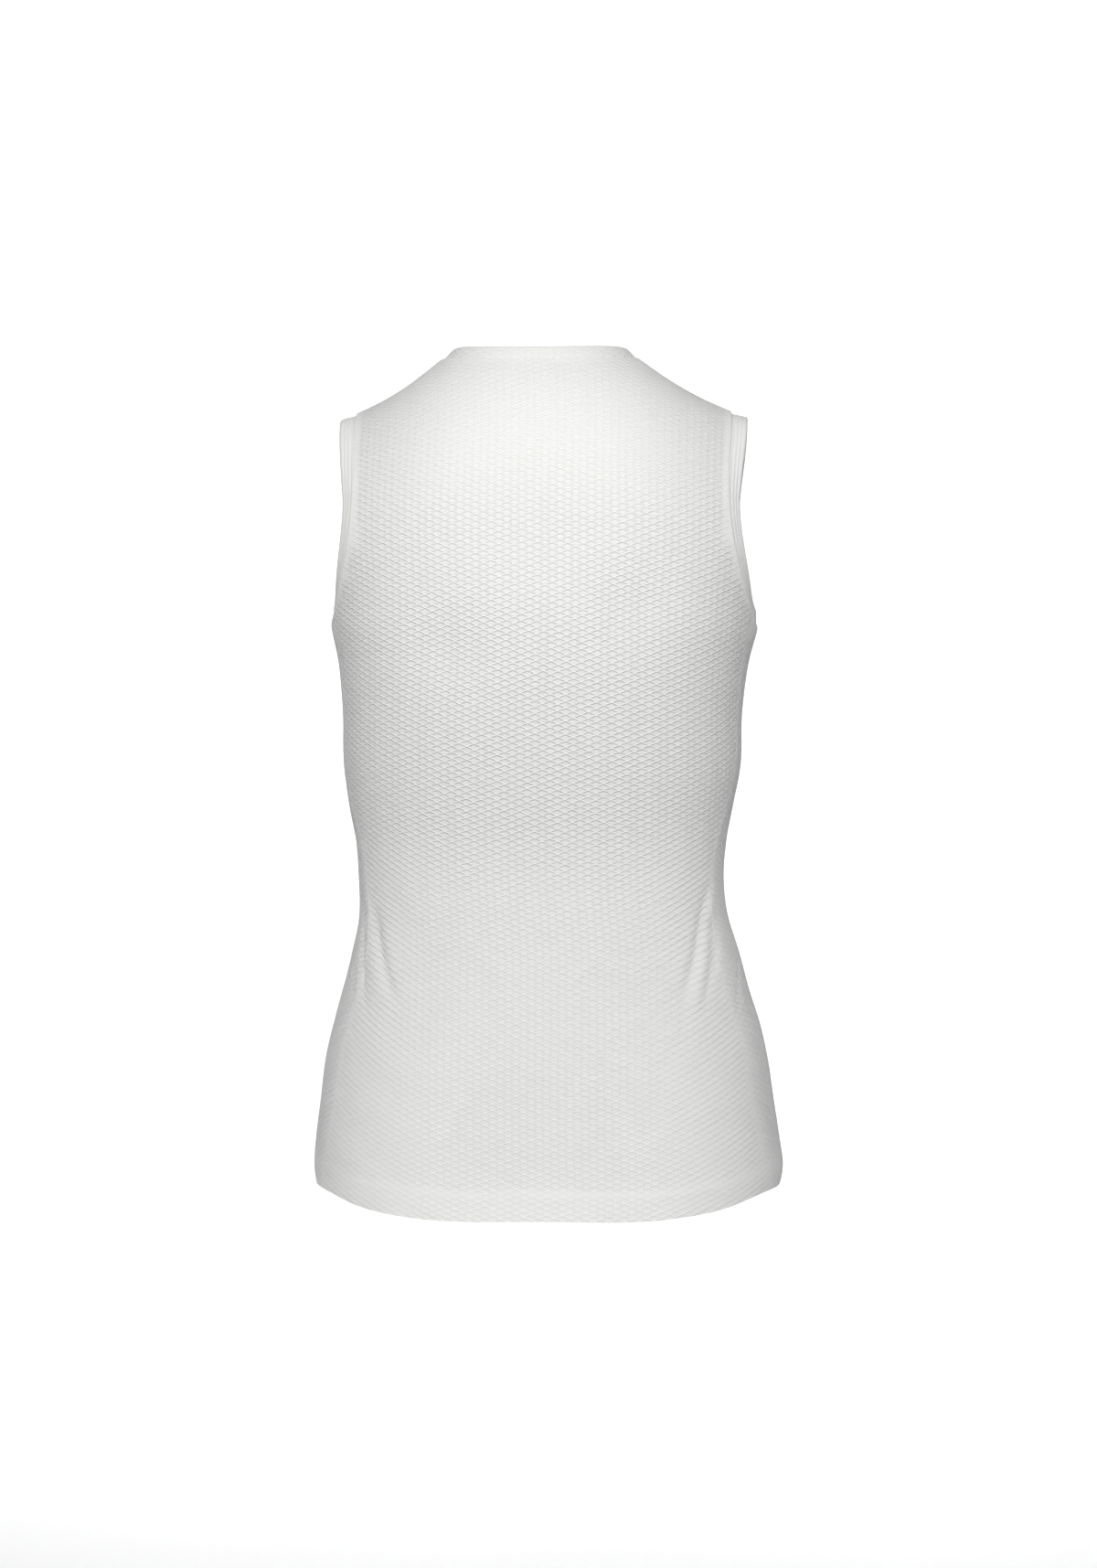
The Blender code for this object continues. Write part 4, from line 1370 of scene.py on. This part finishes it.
class VEST_OT_sewing(bpy.types.Operator):
    """Make the sewing of the bindings, seams and hem"""

    bl_idname = "vest.sewing"
    bl_label = "Sewing"

    def execute(self, context):
        knit = context.scene.vest_knit
        thread = thread_material(knit.thread_colour)
        seam = seam_shade_material(knit.seam_shade_colour)
        cover = cover_material(knit.thread_colour, knit.seam_shade_colour)
        # The joint tapes and the seams' lower tapes are dark strips of painted shadow, and the cover
        # stitching has painted shadow between its threads
        tapes = (("band", COVER_TAPE, cover), ("joint", JOINT_SHADE_TAPE, seam))
        layers = (("joint", SEAM_SHADE_TAPE, seam), ("cover", SEAM_COVER, cover))
        for name, side in SIDES:
            edge = armhole_joint(side)
            for part, (inset, lift, half, thick), look in tapes:
                line = (beside(edge, inset, lift), edge[1], edge[2])
                give(make_tape(f"armhole_{name}_{part}", line, half, thick, closed=True), look)
            runs = rows_of_stitches(edge, ARMHOLE_ROWS, ARMHOLE_LIFT, ARMHOLE_STITCH)
            give(make_thread(f"armhole_{name}_stitches", runs, THREAD), thread)
            runs = [zigzag(edge, *COVER_REACH, COVER_PITCH, COVER_LIFT)]
            give(make_thread(f"armhole_{name}_cover", runs, COVER_THREAD), thread)
        runs = rows_of_stitches(neck_joint(), NECK_ROWS, NECK_LIFT, NECK_STITCH)
        give(make_thread("neck_stitches", runs, THREAD), thread)
        runs = stitch_runs(*hem_line_on_cloth(HEM_LIFT, HEM_TURN + GROOVE_ABOVE), *HEM_STITCH)
        give(make_thread("hem_stitches", runs, HEM_THREAD), thread)
        for name, side in SIDES:
            for place, line in SEAM_LINES.items():
                for part, (lift, half, thick), look in layers:
                    give(make_tape(f"{place}_seam_{name}_{part}", line(side, lift), half, thick), look)
            lines = [line(side, SEAM_LIFT) for line in SEAM_LINES.values()]
            runs = [seam_zigzag(line, SEAM_COVER[1], COVER_PITCH, SEAM_RISE) for line in lines]
            give(make_thread(f"seams_{name}_stitches", runs, COVER_THREAD), thread)
        return {"FINISHED"}


class VEST_OT_stage(bpy.types.Operator):
    """Make the pale floor, the lights and the camera"""

    bl_idname = "vest.stage"
    bl_label = "Stage"

    def execute(self, context):
        stage = context.scene.vest_stage
        context.scene.view_settings.view_transform = "Standard"
        make_cove()
        make_world(context.scene, stage.room_light)
        for row in LIGHTS:
            make_light(*row)
        make_camera(context.scene, stage)
        return {"FINISHED"}


class VEST_PT_panel(bpy.types.Panel):
    bl_label = "Base layer vest"
    bl_idname = "VEST_PT_panel"
    bl_space_type = "VIEW_3D"
    bl_region_type = "UI"
    bl_category = "Vest"

    def draw(self, context):
        for group in (context.scene.vest_knit, context.scene.vest_stage):
            for key in type(group).__annotations__:
                self.layout.prop(group, key)
        for operator in OPERATORS:
            self.layout.operator(operator.bl_idname)


# ---------------------------------------------------------------- stage

FLOOR = -1.350
COVE_RADIUS, COVE_TURN, COVE_TOP = 4.8, 1.6, 4.6
FOCAL_PIXELS = 4000
PHOTO_WIDTH, PHOTO_HEIGHT = 1200, 1715
AXIS_PIXEL = 597.5
SENSOR = 36.0
SPOKES = 96
LAMP_WHITE, WALL_WHITE = (1.0, 1.0, 0.985), (1.0, 1.0, 1.0)
SKY_COLOUR, PAPER_COLOUR = (0.97, 0.985, 1.0), (0.88, 0.88, 0.88)
LIGHTS = (
    # name, place, aimed at, width, height, spread, power, colour
    ("light_above", (0.0, 1.45, 0.55), (0.0, 0.08, -0.12), 0.5, 0.4, 38, 0.78, LAMP_WHITE),
    ("light_behind_camera", (0.0, 3.5, -0.1), (0.0, 0.0, -0.35), 1.0, 1.4, 60, 3.70, LAMP_WHITE),
    ("light_low", (0.0, 3.0, -0.66), (0.0, 0.1, -0.66), 0.8, 0.1, 14, 0.34, LAMP_WHITE),
    ("light_wall", (0.0, -1.6, 3.0), (0.0, -4.8, -0.30), 3.0, 1.0, 120, 100.0, WALL_WHITE),
)


def make_cove():
    """A floor that turns up into a round wall: a flat disc, a quarter circle and a straight run, spun about
    Z."""
    turn = np.linspace(0, math.pi / 2, 13)
    flat = COVE_RADIUS - COVE_TURN
    radius = np.concatenate([[flat * 0.5], flat + COVE_TURN * np.sin(turn), [COVE_RADIUS]])[:, None]
    height = np.concatenate([[FLOOR], FLOOR + COVE_TURN * (1 - np.cos(turn)), [FLOOR + COVE_TOP]])[:, None]
    around = np.arange(SPOKES) * 2 * math.pi / SPOKES
    rings = np.stack([radius * np.sin(around), radius * np.cos(around), height + 0 * around], axis=-1)
    k, j = np.meshgrid(np.arange(SPOKES), np.arange(len(radius) - 1))
    here, after = j * SPOKES + k, j * SPOKES + (k + 1) % SPOKES
    faces = np.stack([here, after, after + SPOKES, here + SPOKES], axis=-1).reshape(-1, 4).tolist()
    made = new_piece("floor_cove", rings.reshape(-1, 3), faces + [list(range(SPOKES))[::-1]])
    give(made, paper_material("pale_paper", PAPER_COLOUR))


def make_world(scene, strength):
    world = scene.world or bpy.data.worlds.new("studio")
    scene.world = world
    world.use_nodes = True
    background = world.node_tree.nodes["Background"]
    background.inputs["Color"].default_value = rgba(SKY_COLOUR)
    background.inputs["Strength"].default_value = strength


def aim(made, place, target):
    """Turn an object at a place so that its -Z looks at a target with its +Y upwards."""
    forward = unit(np.subtract(target, place))
    right = unit(np.cross(forward, (0.0, 0.0, 1.0)))
    up = np.cross(right, forward)
    matrix = np.eye(4)
    matrix[:3, 0], matrix[:3, 1], matrix[:3, 2], matrix[:3, 3] = right, up, -forward, place
    made.matrix_world = Matrix(matrix.tolist())


def make_light(name, place, target, width, height, spread, power, colour):
    lamp = bpy.data.lights.new(name, "AREA")
    lamp.shape = "RECTANGLE"
    lamp.size, lamp.size_y = width, height
    lamp.spread = math.radians(spread)
    lamp.energy = power
    lamp.color = colour
    made = bpy.data.objects.new(name, lamp)
    bpy.context.scene.collection.objects.link(made)
    aim(made, place, target)


def make_camera(scene, stage):
    """Level, behind the vest and a little to its right, with the vest's axis at its own pixel column."""
    away = np.array([-math.sin(stage.turn), math.cos(stage.turn), 0.0])
    right = np.array([-math.cos(stage.turn), -math.sin(stage.turn), 0.0])
    offset = (PHOTO_WIDTH / 2 - AXIS_PIXEL) * stage.distance / FOCAL_PIXELS
    place = away * stage.distance + right * offset + (0, 0, stage.eye_height)
    lens = bpy.data.cameras.new("camera")
    lens.sensor_width = SENSOR
    lens.lens = FOCAL_PIXELS / PHOTO_HEIGHT * SENSOR
    made = bpy.data.objects.new("camera", lens)
    scene.collection.objects.link(made)
    aim(made, place, place - away)
    scene.camera = made


OPERATORS = (VEST_OT_panels, VEST_OT_bindings, VEST_OT_sewing, VEST_OT_stage)
CLASSES = (VestKnit, VestStage, *OPERATORS, VEST_PT_panel)


def register():
    for made in CLASSES:
        bpy.utils.register_class(made)
    bpy.types.Scene.vest_knit = bpy.props.PointerProperty(type=VestKnit)
    bpy.types.Scene.vest_stage = bpy.props.PointerProperty(type=VestStage)


def unregister():
    del bpy.types.Scene.vest_stage
    del bpy.types.Scene.vest_knit
    for made in reversed(CLASSES):
        bpy.utils.unregister_class(made)


def main():
    register()
    bpy.ops.vest.stage()
    bpy.ops.vest.panels()
    bpy.ops.vest.bindings()
    bpy.ops.vest.sewing()


if __name__ == "__main__":
    main()
